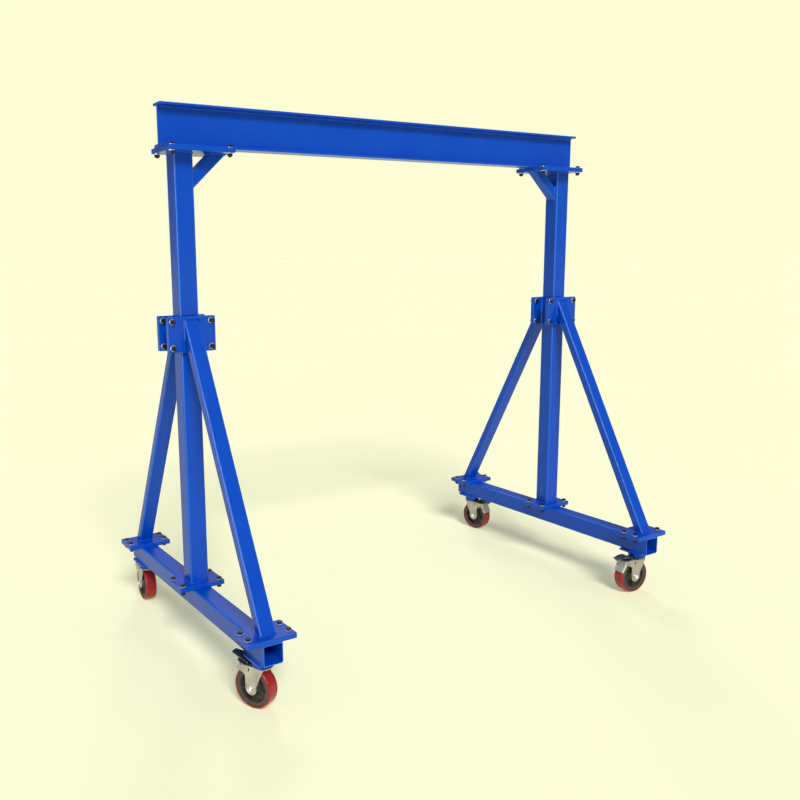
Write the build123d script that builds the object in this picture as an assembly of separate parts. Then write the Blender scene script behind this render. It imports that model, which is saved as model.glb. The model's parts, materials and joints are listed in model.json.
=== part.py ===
from build123d import *
import os
from math import acos, atan2, cos, degrees, hypot, radians, sin, sqrt

# Portable gantry crane: a steel I-beam carried by two A-shaped side frames on braked swivel casters.
# Millimetres, +Z up. X runs along the beam, Y along each side frame's foot. Everything is worked
# out about the floor point under the middle of the beam. On saving it all moves by PARKED_SHIFT
# along Y, so the origin is on the floor under the middle of the crane with its casters parked.

# ---------------------------------------------------------------- driving dimensions
SPAN = 2570              # centre to centre of the two masts
BEAM_OVERHANG = 105      # beam beyond the centre of each mast
BEAM_HEIGHT = 200        # rolled I-section 200 x 90
BEAM_WIDTH = 90
BEAM_WEB = 7.5
BEAM_FLANGE = 11.3
BEAM_ROOT = 8            # root fillet between web and flange

MAST_SIZE = 100          # square tube
MAST_WALL = 5
MAST_CORNER = 10         # outer corner radius
MAST_LENGTH = 2160

BASE_SIZE = 100          # square tube, ends left open
BASE_WALL = 5
BASE_CORNER = 10
BASE_LENGTH = 1690

STRUT_WIDTH = 80         # rectangular tube, wide side across the frame
STRUT_DEPTH = 50
STRUT_WALL = 4
STRUT_CORNER = 8
STRUT_FOOT_OFFSET = 16   # strut's centre line outboard of the middle of its foot plate
STRUT_HEAD_OFFSET = 10   # and beyond the collar's face at the collar's middle

BRACE_SIZE = 60          # square tube between mast and top plate
BRACE_WALL = 4
BRACE_CORNER = 6
BRACE_REACH = 183        # from the mast's face to the brace's outer edge at the top plate
BRACE_DROP = 172         # from the top plate down to that edge at the mast

PLATE = 12               # thickness of every welded plate
TOP_PLATE_X = 343
TOP_PLATE_Y = 235
TOP_PLATE_OUTBOARD = 97  # how far the top plate runs outboard of the mast's centre
TOP_BOLTS_X = 301
TOP_BOLTS_Y = 187
FOOT_PLATE_X = 246
FOOT_PLATE_Y = 168
FOOT_BOLTS_X = 204
MAST_FOOT_BOLTS_Y = 122
STRUT_FOOT_BOLTS_Y = 80
COLLAR_WIDTH = 250
COLLAR_HEIGHT = 174
COLLAR_Z = 1668
COLLAR_BOLTS_X = 204
COLLAR_BOLTS_Z = 128

BOLT_RADIUS = 8          # M16
BOLT_HOLE_RADIUS = 9
HEAD_ACROSS_FLATS = 24
HEAD_HEIGHT = 10
NUT_HEIGHT = 13
WASHER_RADIUS = 15
WASHER_BORE = 8.5
WASHER = 3
BOLT_TAIL = 4            # thread that stands out past the nut

# Caster, drawn with its swivel axis at the origin and its wheel trailing along +X
SWIVEL_INSET = 103       # swivel axis from the end of the base tube
TRAIL = 42               # axle behind the swivel axis
WHEEL_RADIUS = 100
TREAD_WIDTH = 65
TREAD_DEPTH = 9          # down to the iron core
TREAD_SHOULDER = 7
CASTER_PLATE_X = 124
CASTER_PLATE_Y = 160
CUP_RADIUS = 50          # upper race cup, welded under the caster's top plate
CUP_WALL = 5
CUP_DEPTH = 30
KINGPIN_RADIUS = 8
KINGPIN_NUT = 6          # thin nut, clear of the tread below it
KINGPIN_TAIL = 1
RUNNING = 0.05           # radial clearance of every running fit
FORK_SHEET = 5
FORK_CLEARANCE = 5       # between the tread and each cheek
CROWN_CLEARANCE = 3      # between the tread and the crown above it
SWIVEL_DEPTH = 32        # from the crown's top face up to the caster's top plate
FORK_BOSS_RADIUS = 36.4  # inner race, which the balls run round
BOSS_HEIGHT = 20
CROWN_RADIUS = 45
CROWN_REACH = 55         # how far the crown plate reaches back over the wheel
CHEEK_FRONT = 30         # how far the cheeks' top edge reaches ahead of the swivel axis
LEG_RADIUS = 30          # rounded end of the leg round the axle
ARM_TAIL = 44            # the fork's rear arms beyond the brake pivot
ARM_DEPTH = 27           # from the arm's top edge down to its lower edge
ARM_NOSE = 18            # height of the arm's blunt end
ARM_NOSE_SLOPE = 22      # length of the sloping corner above that end
CROTCH_DROP = 60         # from the cheek's top edge to the corner between arm and leg
SLOT_LENGTH = 19         # slot in each cheek beside the crown
SLOT_WIDTH = 8
SLOT_X = 52
SLOT_DROP = 17
SLOT_LEAN = 105          # degrees from the trailing direction
BALL_RADIUS = 4
BALL_COUNT = 28
AXLE_RADIUS = 8
SLEEVE_RADIUS = 12       # spacer sleeve the bearings turn on
BEARING_RADIUS = 20
BEARING_WIDTH = 12
HUB_RADIUS = 31
HUB_CLEARANCE = 1.5      # between the hub and each cheek
RIM_DEPTH = 21           # thickness of the rim under the tread
RIM_INSET = 2            # rim's side inside the tread's side
WEB_THICKNESS = 10
RIB_COUNT = 5
RIB_THICKNESS = 8
RIB_INSET = 6            # and a rib's edge inside the rim's side
RIB_BITE = 2             # how far a rib runs into the hub and the rim
RIB_START = 90           # angle of the first rib
BRAKE_PIN_CLEARANCE = 3  # between the brake pin and the tread
BRAKE_PIVOT_DROP = 11    # pin's centre below the crown's top face
BRAKE_PIN_RADIUS = 4
BRAKE_PIN_HEAD = 3       # how far the pin's heads stand out, sideways and round the pin
BRAKE_RELEASE = 15       # degrees the pedal lifts from braked to free
SHOE_SHEET = 2.6
SHOE_CLEARANCE = 1.4     # between the shoe and each cheek of the fork
SHOE_TOP = 6             # the shoe's top edges above the brake pivot
SHOE_REACH = 25          # from the pivot back to the shoe's back plate at its top
SHOE_LEAN = 31           # how much further back the plate's foot is
SHOE_DROP = 60           # from the pivot down to that foot
SHOE_LUG = 9             # metal ahead of and below the pivot
SHOE_TOE = 11            # depth of the cheeks at the foot
BLOCK_LENGTH = 28        # brake block inside the back plate
BLOCK_INSET = 6          # block's side inside the tread's side
NOTCH_RISE = 22          # notch in one edge of the back plate, above its foot
NOTCH_WIDTH = 12
NOTCH_DEPTH = 7
SHOE_GAP = 1.2           # between the brake block and the tread when the pedal is down
PEDAL_SHEET = 3
PEDAL_INSET = 3          # pedal's side inside the cheek of the fork
PEDAL_TIP_HALF_WIDTH = 17
# Middle line of the pedal's sheet from the lower wing's tip round to the upper wing's tip: how far
# behind the pivot, and how far above the sheet's seat on the shoe
PEDAL_LINE = [(46, 2), (14, 0), (-10, 0), (-18, 4), (-21, 11), (-16, 18), (4, 22), (38, 20.5),
              (70, 16), (84, 15.5), (88, 18)]
PEDAL_ROOT_LENGTH = 26   # full width this far either side of the pivot, narrowing to the tip

# Each caster stands at its own swivel angle, measured from +X to the trailing side.
CASTERS = {
    "front_left": dict(x=-1, y=-1, swivel=116, released=True),
    "back_left": dict(x=-1, y=1, swivel=86, released=True),
    "back_right": dict(x=1, y=1, swivel=-78, released=False),
    "front_right": dict(x=1, y=-1, swivel=173, released=False),
}

# How far everything moves along Y on saving, because one parked caster stands out at the back
PARKED_SHIFT = -32

# ---------------------------------------------------------------- worked out from them
FORK_TOP = 2 * WHEEL_RADIUS + CROWN_CLEARANCE + FORK_SHEET   # top face of the fork's crown
BASE_UNDERSIDE = FORK_TOP + SWIVEL_DEPTH + PLATE
BASE_TOP = BASE_UNDERSIDE + BASE_SIZE
JOINT_FOOT = BASE_TOP + PLATE            # face between lower and upper foot plates
FOOT_TOP = JOINT_FOOT + PLATE
MAST_TOP = FOOT_TOP + MAST_LENGTH
JOINT_TOP = MAST_TOP + PLATE             # face between mast top plate and beam plate
BEAM_UNDERSIDE = JOINT_TOP + PLATE
TOP_PLATE_CENTRE = TOP_PLATE_X / 2 - TOP_PLATE_OUTBOARD   # inboard of the mast's centre
COLLAR_FACE = MAST_SIZE / 2 + 2 * PLATE  # outer face of the strut's collar plate
BEAM_LENGTH = SPAN + 2 * BEAM_OVERHANG
STRUT_PLATE_Y = (BASE_LENGTH - FOOT_PLATE_Y) / 2          # outer foot plates end with the base tube
STRUT_FOOT_Y = STRUT_PLATE_Y + STRUT_FOOT_OFFSET
STRUT_HEAD_Y = COLLAR_FACE + STRUT_HEAD_OFFSET
SWIVEL_Y = BASE_LENGTH / 2 - SWIVEL_INSET
BOLT_GRIP = 2 * PLATE + 2 * WASHER
BOLT_LENGTH = BOLT_GRIP + NUT_HEIGHT + BOLT_TAIL
CASTER_PLATE_BOTTOM = BASE_UNDERSIDE - PLATE
CUP_BOTTOM = CASTER_PLATE_BOTTOM - CUP_DEPTH
CROWN_BOTTOM = FORK_TOP - FORK_SHEET
AXLE_Z = WHEEL_RADIUS
TREAD_INNER = WHEEL_RADIUS - TREAD_DEPTH
RIM_INNER = TREAD_INNER - RIM_DEPTH
FORK_GAP = TREAD_WIDTH + 2 * FORK_CLEARANCE               # inside width between the cheeks
HUB_WIDTH = FORK_GAP - 2 * HUB_CLEARANCE
RIM_WIDTH = TREAD_WIDTH - 2 * RIM_INSET
RIB_WIDTH = RIM_WIDTH - 2 * RIB_INSET
BRAKE_PIVOT_Z = FORK_TOP - BRAKE_PIVOT_DROP
BRAKE_PIVOT_X = TRAIL + sqrt((WHEEL_RADIUS + BRAKE_PIN_CLEARANCE + BRAKE_PIN_RADIUS) ** 2
                             - (BRAKE_PIVOT_Z - AXLE_Z) ** 2)
ARM_REACH = BRAKE_PIVOT_X + ARM_TAIL
SHOE_HALF_WIDTH = FORK_GAP / 2 - SHOE_CLEARANCE
BLOCK_HALF_WIDTH = TREAD_WIDTH / 2 - BLOCK_INSET
PEDAL_HALF_WIDTH = FORK_GAP / 2 - PEDAL_INSET
SIDES = {"left": -1, "right": 1}
ENDS = {"front": -1, "back": 1}

os.makedirs("parts", exist_ok=True)


def save(name, *solids):
    """Write one node: a single solid, or a group of separate identical ones."""
    moved = [Pos(0, PARKED_SHIFT, 0) * solid for solid in solids]
    shape = moved[0] if len(moved) == 1 else Compound(children=moved)
    export_step(shape, f"parts/{name}.step")


def slab(x0, x1, y0, y1, z0, z1):
    """A plain box given by its lowest and highest corners."""
    centre = ((x0 + x1) / 2, (y0 + y1) / 2, (z0 + z1) / 2)
    return Pos(*centre) * Box(x1 - x0, y1 - y0, z1 - z0)


def tube_section(width, depth, wall, corner):
    """Cross-section of a rolled hollow section with rounded corners."""
    outside = RectangleRounded(width, depth, corner)
    inside = RectangleRounded(width - 2 * wall, depth - 2 * wall, max(corner - wall, 1))
    return outside - inside


def drilled_plate(size_u, size_v, pitch_u, pitch_v):
    """A flat plate standing on the XY plane with one bolt hole near each corner."""
    outline = Rectangle(size_u, size_v)
    holes = GridLocations(pitch_u, pitch_v, 2, 2) * Circle(BOLT_HOLE_RADIUS)
    return extrude(outline - holes, PLATE)


# ---------------------------------------------------------------- beam and its plates
def beam():
    flange = Rectangle(BEAM_WIDTH, BEAM_FLANGE)
    lift = (BEAM_HEIGHT - BEAM_FLANGE) / 2
    section = Rectangle(BEAM_WEB, BEAM_HEIGHT) + Pos(0, lift) * flange + Pos(0, -lift) * flange
    half_web = BEAM_WEB / 2
    inner = BEAM_HEIGHT / 2 - BEAM_FLANGE
    roots = [v for v in section.vertices()
             if abs(abs(v.X) - half_web) < 0.01 and abs(abs(v.Y) - inner) < 0.01]
    section = fillet(roots, BEAM_ROOT)
    along = Plane(origin=(-BEAM_LENGTH / 2, 0, BEAM_UNDERSIDE + BEAM_HEIGHT / 2),
                  x_dir=(0, 1, 0), z_dir=(1, 0, 0))
    return extrude(along * section, BEAM_LENGTH)


def top_plate(side, bottom):
    plate = drilled_plate(TOP_PLATE_X, TOP_PLATE_Y, TOP_BOLTS_X, TOP_BOLTS_Y)
    return Pos(side * (SPAN / 2 - TOP_PLATE_CENTRE), 0, bottom) * plate


# ---------------------------------------------------------------- side frames
def mast(side):
    section = tube_section(MAST_SIZE, MAST_SIZE, MAST_WALL, MAST_CORNER)
    return Pos(side * SPAN / 2, 0, FOOT_TOP) * extrude(section, MAST_LENGTH)


def base_tube(side):
    section = tube_section(BASE_SIZE, BASE_SIZE, BASE_WALL, BASE_CORNER)
    along = Plane(origin=(side * SPAN / 2, -BASE_LENGTH / 2, BASE_UNDERSIDE + BASE_SIZE / 2),
                  x_dir=(1, 0, 0), z_dir=(0, 1, 0))
    return extrude(along * section, BASE_LENGTH)


def knee_brace(side):
    """Inclined tube from the mast's inner face to the underside of the mast's top plate."""
    slope = atan2(BRACE_DROP, BRACE_REACH)
    inward = -side
    face = side * SPAN / 2 + inward * MAST_SIZE / 2
    # a point on the outer edge, then half a tube back towards the corner
    axis_x = face + inward * (BRACE_REACH - BRACE_SIZE / 2 * sin(slope))
    axis_z = MAST_TOP + BRACE_SIZE / 2 * cos(slope)
    direction = (inward * cos(slope), 0, sin(slope))
    section = tube_section(BRACE_SIZE, BRACE_SIZE, BRACE_WALL, BRACE_CORNER)
    along = Plane(origin=(axis_x, 0, axis_z), x_dir=(0, 1, 0), z_dir=direction)
    length = 2 * hypot(BRACE_REACH, BRACE_DROP)
    bar = extrude(along * section, length, both=True)
    low, high = sorted((face, face + inward * 2 * BRACE_REACH))
    room = slab(low, high, -BRACE_SIZE, BRACE_SIZE, MAST_TOP - 2 * BRACE_DROP, MAST_TOP)
    return bar & room


def strut(side, end):
    """Inclined tube from the collar's outer face down to its foot plate."""
    rise = COLLAR_Z - FOOT_TOP
    run = STRUT_FOOT_Y - STRUT_HEAD_Y
    direction = (0, -end * run, rise)
    section = tube_section(STRUT_WIDTH, STRUT_DEPTH, STRUT_WALL, STRUT_CORNER)
    along = Plane(origin=(side * SPAN / 2, end * STRUT_FOOT_Y, FOOT_TOP),
                  x_dir=(1, 0, 0), z_dir=direction)
    bar = extrude(along * section, 2 * hypot(rise, run), both=True)
    near, far = sorted((end * COLLAR_FACE, end * BASE_LENGTH))
    middle = side * SPAN / 2
    room = slab(middle - STRUT_WIDTH, middle + STRUT_WIDTH, near, far, FOOT_TOP, MAST_TOP)
    return bar & room


def foot_plate(side, y, bolts_y, bottom):
    plate = drilled_plate(FOOT_PLATE_X, FOOT_PLATE_Y, FOOT_BOLTS_X, bolts_y)
    return Pos(side * SPAN / 2, y, bottom) * plate


def collar_plate(side, end, inner_face):
    """Upright plate across the mast; inner_face is its nearer distance from the mast's centre."""
    plate = drilled_plate(COLLAR_WIDTH, COLLAR_HEIGHT, COLLAR_BOLTS_X, COLLAR_BOLTS_Z)
    upright = Plane(origin=(side * SPAN / 2, end * inner_face, COLLAR_Z),
                    x_dir=(-end, 0, 0), z_dir=(0, end, 0))
    return upright * plate


# ---------------------------------------------------------------- bolts
def bolt_place(point, outward):
    """Where a bolt goes: its washer lies on the point and its head faces outward."""
    return Plane(origin=point, x_dir=(1, 0, 0), z_dir=outward)


def bolt():
    head = extrude(Pos(0, 0, WASHER) * RegularPolygon(HEAD_ACROSS_FLATS / 2, 6, major_radius=False),
                   HEAD_HEIGHT)
    shank = Pos(0, 0, WASHER) * extrude(Circle(BOLT_RADIUS), -BOLT_LENGTH)
    return head + shank


def washer():
    return extrude(Circle(WASHER_RADIUS) - Circle(WASHER_BORE), WASHER)


def nut():
    outline = RegularPolygon(HEAD_ACROSS_FLATS / 2, 6, major_radius=False) - Circle(BOLT_RADIUS)
    return Pos(0, 0, WASHER - BOLT_GRIP - NUT_HEIGHT) * extrude(outline, NUT_HEIGHT)


def all_bolt_places():
    places = []
    for side in SIDES.values():
        centre = side * (SPAN / 2 - TOP_PLATE_CENTRE)
        for spot in GridLocations(TOP_BOLTS_X, TOP_BOLTS_Y, 2, 2):
            point = (centre + spot.position.X, spot.position.Y, BEAM_UNDERSIDE)
            places.append(bolt_place(point, (0, 0, 1)))
        feet = [(0, MAST_FOOT_BOLTS_Y)]
        feet += [(end * STRUT_PLATE_Y, STRUT_FOOT_BOLTS_Y) for end in ENDS.values()]
        for y, pitch in feet:
            for spot in GridLocations(FOOT_BOLTS_X, pitch, 2, 2):
                point = (side * SPAN / 2 + spot.position.X, y + spot.position.Y, FOOT_TOP)
                places.append(bolt_place(point, (0, 0, 1)))
        for end in ENDS.values():
            for spot in GridLocations(COLLAR_BOLTS_X, COLLAR_BOLTS_Z, 2, 2):
                point = (side * SPAN / 2 + spot.position.X, end * COLLAR_FACE,
                         COLLAR_Z + spot.position.Y)
                places.append(bolt_place(point, (0, end, 0)))
    return places


# ---------------------------------------------------------------- caster, in its own frame
def caster_top_plate():
    """Plate welded under the base tube, bored for the kingpin."""
    outline = Rectangle(CASTER_PLATE_X, CASTER_PLATE_Y) - Circle(KINGPIN_RADIUS + RUNNING)
    return Pos(0, 0, CASTER_PLATE_BOTTOM) * extrude(outline, PLATE)


def race_cup():
    """Upper ball race, a short ring welded under the caster's top plate."""
    ring = Circle(CUP_RADIUS) - Circle(CUP_RADIUS - CUP_WALL)
    return Pos(0, 0, CUP_BOTTOM) * extrude(ring, CUP_DEPTH)


def kingpin():
    """Pin from the top plate through the crown, with its nut under the crown."""
    tail = KINGPIN_NUT + KINGPIN_TAIL
    length = BASE_UNDERSIDE - CROWN_BOTTOM + tail
    pin = Pos(0, 0, CROWN_BOTTOM - tail) * extrude(Circle(KINGPIN_RADIUS), length)
    hexagon = RegularPolygon(HEAD_ACROSS_FLATS / 2, 6, major_radius=False)
    return pin + Pos(0, 0, CROWN_BOTTOM - KINGPIN_NUT) * extrude(hexagon, KINGPIN_NUT)


def balls():
    """Ball ring between the fork's boss and the cup."""
    ring_radius = (FORK_BOSS_RADIUS + CUP_RADIUS - CUP_WALL) / 2
    ball = Pos(ring_radius, 0, CUP_BOTTOM + BALL_RADIUS + 1) * Sphere(BALL_RADIUS)
    return [Rot(0, 0, 360 * i / BALL_COUNT) * ball for i in range(BALL_COUNT)]


def fork_cheek():
    """Side sheet of the fork in the XZ plane: a leg down to the axle and an arm back to the brake."""
    front = -CHEEK_FRONT
    reach, rise = front - TRAIL, FORK_TOP - AXLE_Z
    tangent = atan2(rise, reach) + acos(LEG_RADIUS / hypot(reach, rise))
    touch = (TRAIL + LEG_RADIUS * cos(tangent), AXLE_Z + LEG_RADIUS * sin(tangent))
    back = TRAIL + LEG_RADIUS
    nose_top = FORK_TOP - (ARM_DEPTH - ARM_NOSE) * 2 / 3
    outline = Polyline((front, FORK_TOP), (ARM_REACH - ARM_NOSE_SLOPE, FORK_TOP), (ARM_REACH, nose_top),
                       (ARM_REACH, FORK_TOP - ARM_NOSE), (ARM_REACH - ARM_NOSE_SLOPE, FORK_TOP - ARM_DEPTH),
                       (back, FORK_TOP - CROTCH_DROP), (back, AXLE_Z), (TRAIL, AXLE_Z), touch, close=True)
    leg = make_face(outline) + Pos(TRAIL, AXLE_Z) * Circle(LEG_RADIUS)
    axle_hole = Pos(TRAIL, AXLE_Z) * Circle(AXLE_RADIUS + RUNNING)
    pin_hole = Pos(BRAKE_PIVOT_X, BRAKE_PIVOT_Z) * Circle(BRAKE_PIN_RADIUS + RUNNING)
    slot = Pos(SLOT_X, FORK_TOP - SLOT_DROP) * Rot(0, 0, SLOT_LEAN) * SlotOverall(SLOT_LENGTH, SLOT_WIDTH)
    face = leg - axle_hole - pin_hole - slot
    upright = Plane(origin=(0, 0, 0), x_dir=(1, 0, 0), z_dir=(0, -1, 0))
    return extrude(upright * face, FORK_SHEET)


def fork():
    """Pressed crown with its inner race boss and two cheeks, one piece."""
    cheek = fork_cheek()
    right_cheek = Pos(0, -FORK_GAP / 2, 0) * cheek
    left_cheek = Pos(0, FORK_GAP / 2 + FORK_SHEET, 0) * cheek
    width = FORK_GAP + 2 * FORK_SHEET
    crown = Circle(CROWN_RADIUS) + Pos(CROWN_REACH / 2, 0) * Rectangle(CROWN_REACH, width)
    plate = Pos(0, 0, CROWN_BOTTOM) * extrude(crown, FORK_SHEET)
    boss = Pos(0, 0, FORK_TOP) * extrude(Circle(FORK_BOSS_RADIUS), BOSS_HEIGHT)
    bore = Pos(0, 0, CROWN_BOTTOM) * extrude(Circle(KINGPIN_RADIUS + RUNNING),
                                             FORK_SHEET + BOSS_HEIGHT)
    return plate + boss + right_cheek + left_cheek - bore


def across(sketch, width):
    """Extrude a sketch drawn round the axle by equal amounts to both sides of the wheel's plane."""
    upright = Plane(origin=(TRAIL, 0, AXLE_Z), x_dir=(1, 0, 0), z_dir=(0, -1, 0))
    return extrude(upright * sketch, width / 2, both=True)


def axle_set():
    """Axle bolt with its head on the -Y cheek, its nut on the +Y cheek, and the spacer sleeve."""
    outer = FORK_GAP / 2 + FORK_SHEET
    hexagon = RegularPolygon(HEAD_ACROSS_FLATS / 2, 6, major_radius=False)
    towards_nut = Plane(origin=(TRAIL, -outer, AXLE_Z), x_dir=(1, 0, 0), z_dir=(0, 1, 0))
    head = extrude(towards_nut * hexagon, -HEAD_HEIGHT)
    shank = extrude(towards_nut * Circle(AXLE_RADIUS), 2 * outer + NUT_HEIGHT + BOLT_TAIL)
    nut_face = Plane(origin=(TRAIL, outer, AXLE_Z), x_dir=(1, 0, 0), z_dir=(0, 1, 0))
    axle_nut = extrude(nut_face * (hexagon - Circle(AXLE_RADIUS)), NUT_HEIGHT)
    sleeve = across(Circle(SLEEVE_RADIUS) - Circle(AXLE_RADIUS + RUNNING), FORK_GAP)
    return [head + shank, axle_nut, sleeve]


def wheel_core():
    """Cast-iron wheel centre: hub, web with ribs, and rim."""
    hub = across(Circle(HUB_RADIUS), HUB_WIDTH)
    web = across(Circle(RIM_INNER + 1), WEB_THICKNESS)
    rim = across(Circle(TREAD_INNER) - Circle(RIM_INNER), RIM_WIDTH)
    rib_length = RIM_INNER - HUB_RADIUS + 2 * RIB_BITE
    rib = Pos((HUB_RADIUS + RIM_INNER) / 2, 0) * Rectangle(rib_length, RIB_THICKNESS)
    ribs = [across(Rot(0, 0, 360 * i / RIB_COUNT + RIB_START) * rib, RIB_WIDTH)
            for i in range(RIB_COUNT)]
    seat = across(Circle(BEARING_RADIUS), HUB_WIDTH)
    body = hub + web + rim
    for each in ribs:
        body += each
    return body - seat


def wheel_tread():
    """Polyurethane tyre cast on the rim, with rounded shoulders."""
    half = TREAD_WIDTH / 2
    depth = WHEEL_RADIUS - TREAD_INNER
    section = Pos(TREAD_INNER + depth / 2, 0) * Rectangle(depth, TREAD_WIDTH)
    outer = [v for v in section.vertices() if v.X > WHEEL_RADIUS - 1 and abs(abs(v.Y) - half) < 0.01]
    section = fillet(outer, TREAD_SHOULDER)
    # drawn with the wheel's radius along X and its width along Y, then turned about the Y axis
    tyre = revolve(section, Axis.Y)
    return Pos(TRAIL, 0, AXLE_Z) * tyre


def wheel_bearings():
    ring = Circle(BEARING_RADIUS) - Circle(SLEEVE_RADIUS + RUNNING)
    offset = HUB_WIDTH / 2 - 1 - BEARING_WIDTH / 2
    bearing = across(ring, BEARING_WIDTH)
    return [Pos(0, -offset, 0) * bearing, Pos(0, offset, 0) * bearing]


def brake_pin():
    """Headed pin across the fork's rear arms."""
    half = FORK_GAP / 2 + FORK_SHEET

    def disc(y, radius, length):
        start = Plane(origin=(BRAKE_PIVOT_X, y, BRAKE_PIVOT_Z), x_dir=(1, 0, 0), z_dir=(0, 1, 0))
        return extrude(start * Circle(radius), length)

    head_radius = BRAKE_PIN_RADIUS + BRAKE_PIN_HEAD
    pin = disc(-half, BRAKE_PIN_RADIUS, 2 * half)
    return pin + disc(-half, head_radius, -BRAKE_PIN_HEAD) + disc(half, head_radius, BRAKE_PIN_HEAD)


def brake_plane(y):
    """The XZ plane through the brake pivot at a given distance across, facing -Y."""
    return Plane(origin=(BRAKE_PIVOT_X, y, BRAKE_PIVOT_Z), x_dir=(1, 0, 0), z_dir=(0, -1, 0))


def brake_shoe():
    """Bent sheet box round the tread, drawn braked: two cheeks, a back plate and the brake block."""
    top, foot = (SHOE_REACH, SHOE_TOP), (SHOE_REACH + SHOE_LEAN, -SHOE_DROP)
    side_face = make_face(Polyline((-SHOE_LUG, SHOE_TOP), top, foot, (foot[0] - SHOE_TOE, -SHOE_DROP),
                                   (SHOE_REACH / 2, -SHOE_LUG), (-SHOE_LUG, -SHOE_LUG), close=True))
    side_face = side_face - Circle(BRAKE_PIN_RADIUS + RUNNING)
    inner = SHOE_HALF_WIDTH - SHOE_SHEET
    near = extrude(brake_plane(-inner) * side_face, SHOE_SHEET)
    far = extrude(brake_plane(SHOE_HALF_WIDTH) * side_face, SHOE_SHEET)
    run = hypot(foot[0] - top[0], foot[1] - top[1])
    along = ((foot[0] - top[0]) / run, (foot[1] - top[1]) / run)
    inward = (along[1], -along[0])
    # distance from the axle to the back plate's outer face
    from_axle = ((BRAKE_PIVOT_X + top[0] - TRAIL) * -inward[0]
                 + (BRAKE_PIVOT_Z + top[1] - AXLE_Z) * -inward[1])
    block_depth = from_axle - WHEEL_RADIUS - SHOE_GAP

    def strip(start, end, depth):
        a = (top[0] + along[0] * start, top[1] + along[1] * start)
        b = (top[0] + along[0] * end, top[1] + along[1] * end)
        return make_face(Polyline(a, b, (b[0] + inward[0] * depth, b[1] + inward[1] * depth),
                                  (a[0] + inward[0] * depth, a[1] + inward[1] * depth), close=True))

    back = extrude(brake_plane(0) * strip(0, run, SHOE_SHEET), inner, both=True)
    block = extrude(brake_plane(0) * strip(run - BLOCK_LENGTH, run, block_depth), BLOCK_HALF_WIDTH,
                    both=True)
    notch_sketch = strip(run - NOTCH_RISE - NOTCH_WIDTH, run - NOTCH_RISE, SHOE_SHEET)
    notch = extrude(brake_plane(SHOE_HALF_WIDTH) * notch_sketch, NOTCH_DEPTH)
    return near + far + back + block - notch


def sheet_profile(path, thickness):
    """Face of a bent sheet whose middle runs along the path, its bends mitred."""
    edges = []
    for a, b in zip(path, path[1:]):
        run = hypot(b[0] - a[0], b[1] - a[1])
        edges.append(((b[0] - a[0]) / run, (b[1] - a[1]) / run))
    one, other = [], []
    for i, point in enumerate(path):
        before = edges[max(i - 1, 0)]
        after = edges[min(i, len(edges) - 1)]
        across_x, across_y = -before[1] - after[1], before[0] + after[0]
        size = hypot(across_x, across_y)
        across_x, across_y = across_x / size, across_y / size
        # a mitre is longer than half the thickness by the cosine of half the bend
        reach = thickness / 2 / (across_x * -after[1] + across_y * after[0])
        one.append((point[0] + across_x * reach, point[1] + across_y * reach))
        other.append((point[0] - across_x * reach, point[1] - across_y * reach))
    return make_face(Polyline(*one, *reversed(other), close=True))


def brake_pedal():
    """Foot pedal bent from one sheet, drawn braked: a lower wing on the shoe and an upper wing."""
    seat = SHOE_TOP + PEDAL_SHEET / 2
    path = [(x, seat + rise) for x, rise in PEDAL_LINE]
    wings = extrude(brake_plane(0) * sheet_profile(path, PEDAL_SHEET), PEDAL_HALF_WIDTH, both=True)
    # plan outline: full width over the shoe, narrowing to the wing's tip
    x0, x1 = BRAKE_PIVOT_X - PEDAL_ROOT_LENGTH, BRAKE_PIVOT_X + PEDAL_ROOT_LENGTH
    x2 = BRAKE_PIVOT_X + PEDAL_LINE[-1][0] + 2 * PEDAL_SHEET
    plan = make_face(Polyline((x0, -PEDAL_HALF_WIDTH), (x1, -PEDAL_HALF_WIDTH),
                              (x2, -PEDAL_TIP_HALF_WIDTH), (x2, PEDAL_TIP_HALF_WIDTH),
                              (x1, PEDAL_HALF_WIDTH), (x0, PEDAL_HALF_WIDTH), close=True))
    keep = Pos(0, 0, BRAKE_PIVOT_Z) * extrude(plan, FORK_TOP)
    return wings & keep


# ---------------------------------------------------------------- placing the casters
def placed(caster):
    """Location of a caster: on its swivel axis, turned to its own angle."""
    return Pos(caster["x"] * SPAN / 2, caster["y"] * SWIVEL_Y, 0) * Rot(0, 0, caster["swivel"])


def pedal_turn(caster):
    """Rotation of the pedal and shoe about the brake pivot at rest."""
    lift = -BRAKE_RELEASE if caster["released"] else 0
    pivot = Pos(BRAKE_PIVOT_X, 0, BRAKE_PIVOT_Z)
    return pivot * Rot(0, lift, 0) * pivot.inverse()


# ---------------------------------------------------------------- build every node
save("main_beam", beam())
for name, side in SIDES.items():
    save(f"beam_plate_{name}", top_plate(side, JOINT_TOP))
    save(f"mast_top_plate_{name}", top_plate(side, MAST_TOP))
    save(f"mast_{name}", mast(side))
    save(f"mast_foot_plate_{name}", foot_plate(side, 0, MAST_FOOT_BOLTS_Y, JOINT_FOOT))
    save(f"knee_brace_{name}", knee_brace(side))
    save(f"base_tube_{name}", base_tube(side))
    for end_name, end in ENDS.items():
        save(f"strut_{end_name}_{name}", strut(side, end))

corners = [(side, end) for side in SIDES.values() for end in ENDS.values()]
save("mast_collar_plates", *[collar_plate(s, e, MAST_SIZE / 2) for s, e in corners])
save("strut_collar_plates", *[collar_plate(s, e, MAST_SIZE / 2 + PLATE) for s, e in corners])
save("strut_foot_plates",
     *[foot_plate(s, e * STRUT_PLATE_Y, STRUT_FOOT_BOLTS_Y, JOINT_FOOT) for s, e in corners])
save("base_top_plates",
     *[foot_plate(s, e * STRUT_PLATE_Y, STRUT_FOOT_BOLTS_Y, BASE_TOP) for s, e in corners],
     *[foot_plate(s, 0, MAST_FOOT_BOLTS_Y, BASE_TOP) for s in SIDES.values()])

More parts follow.
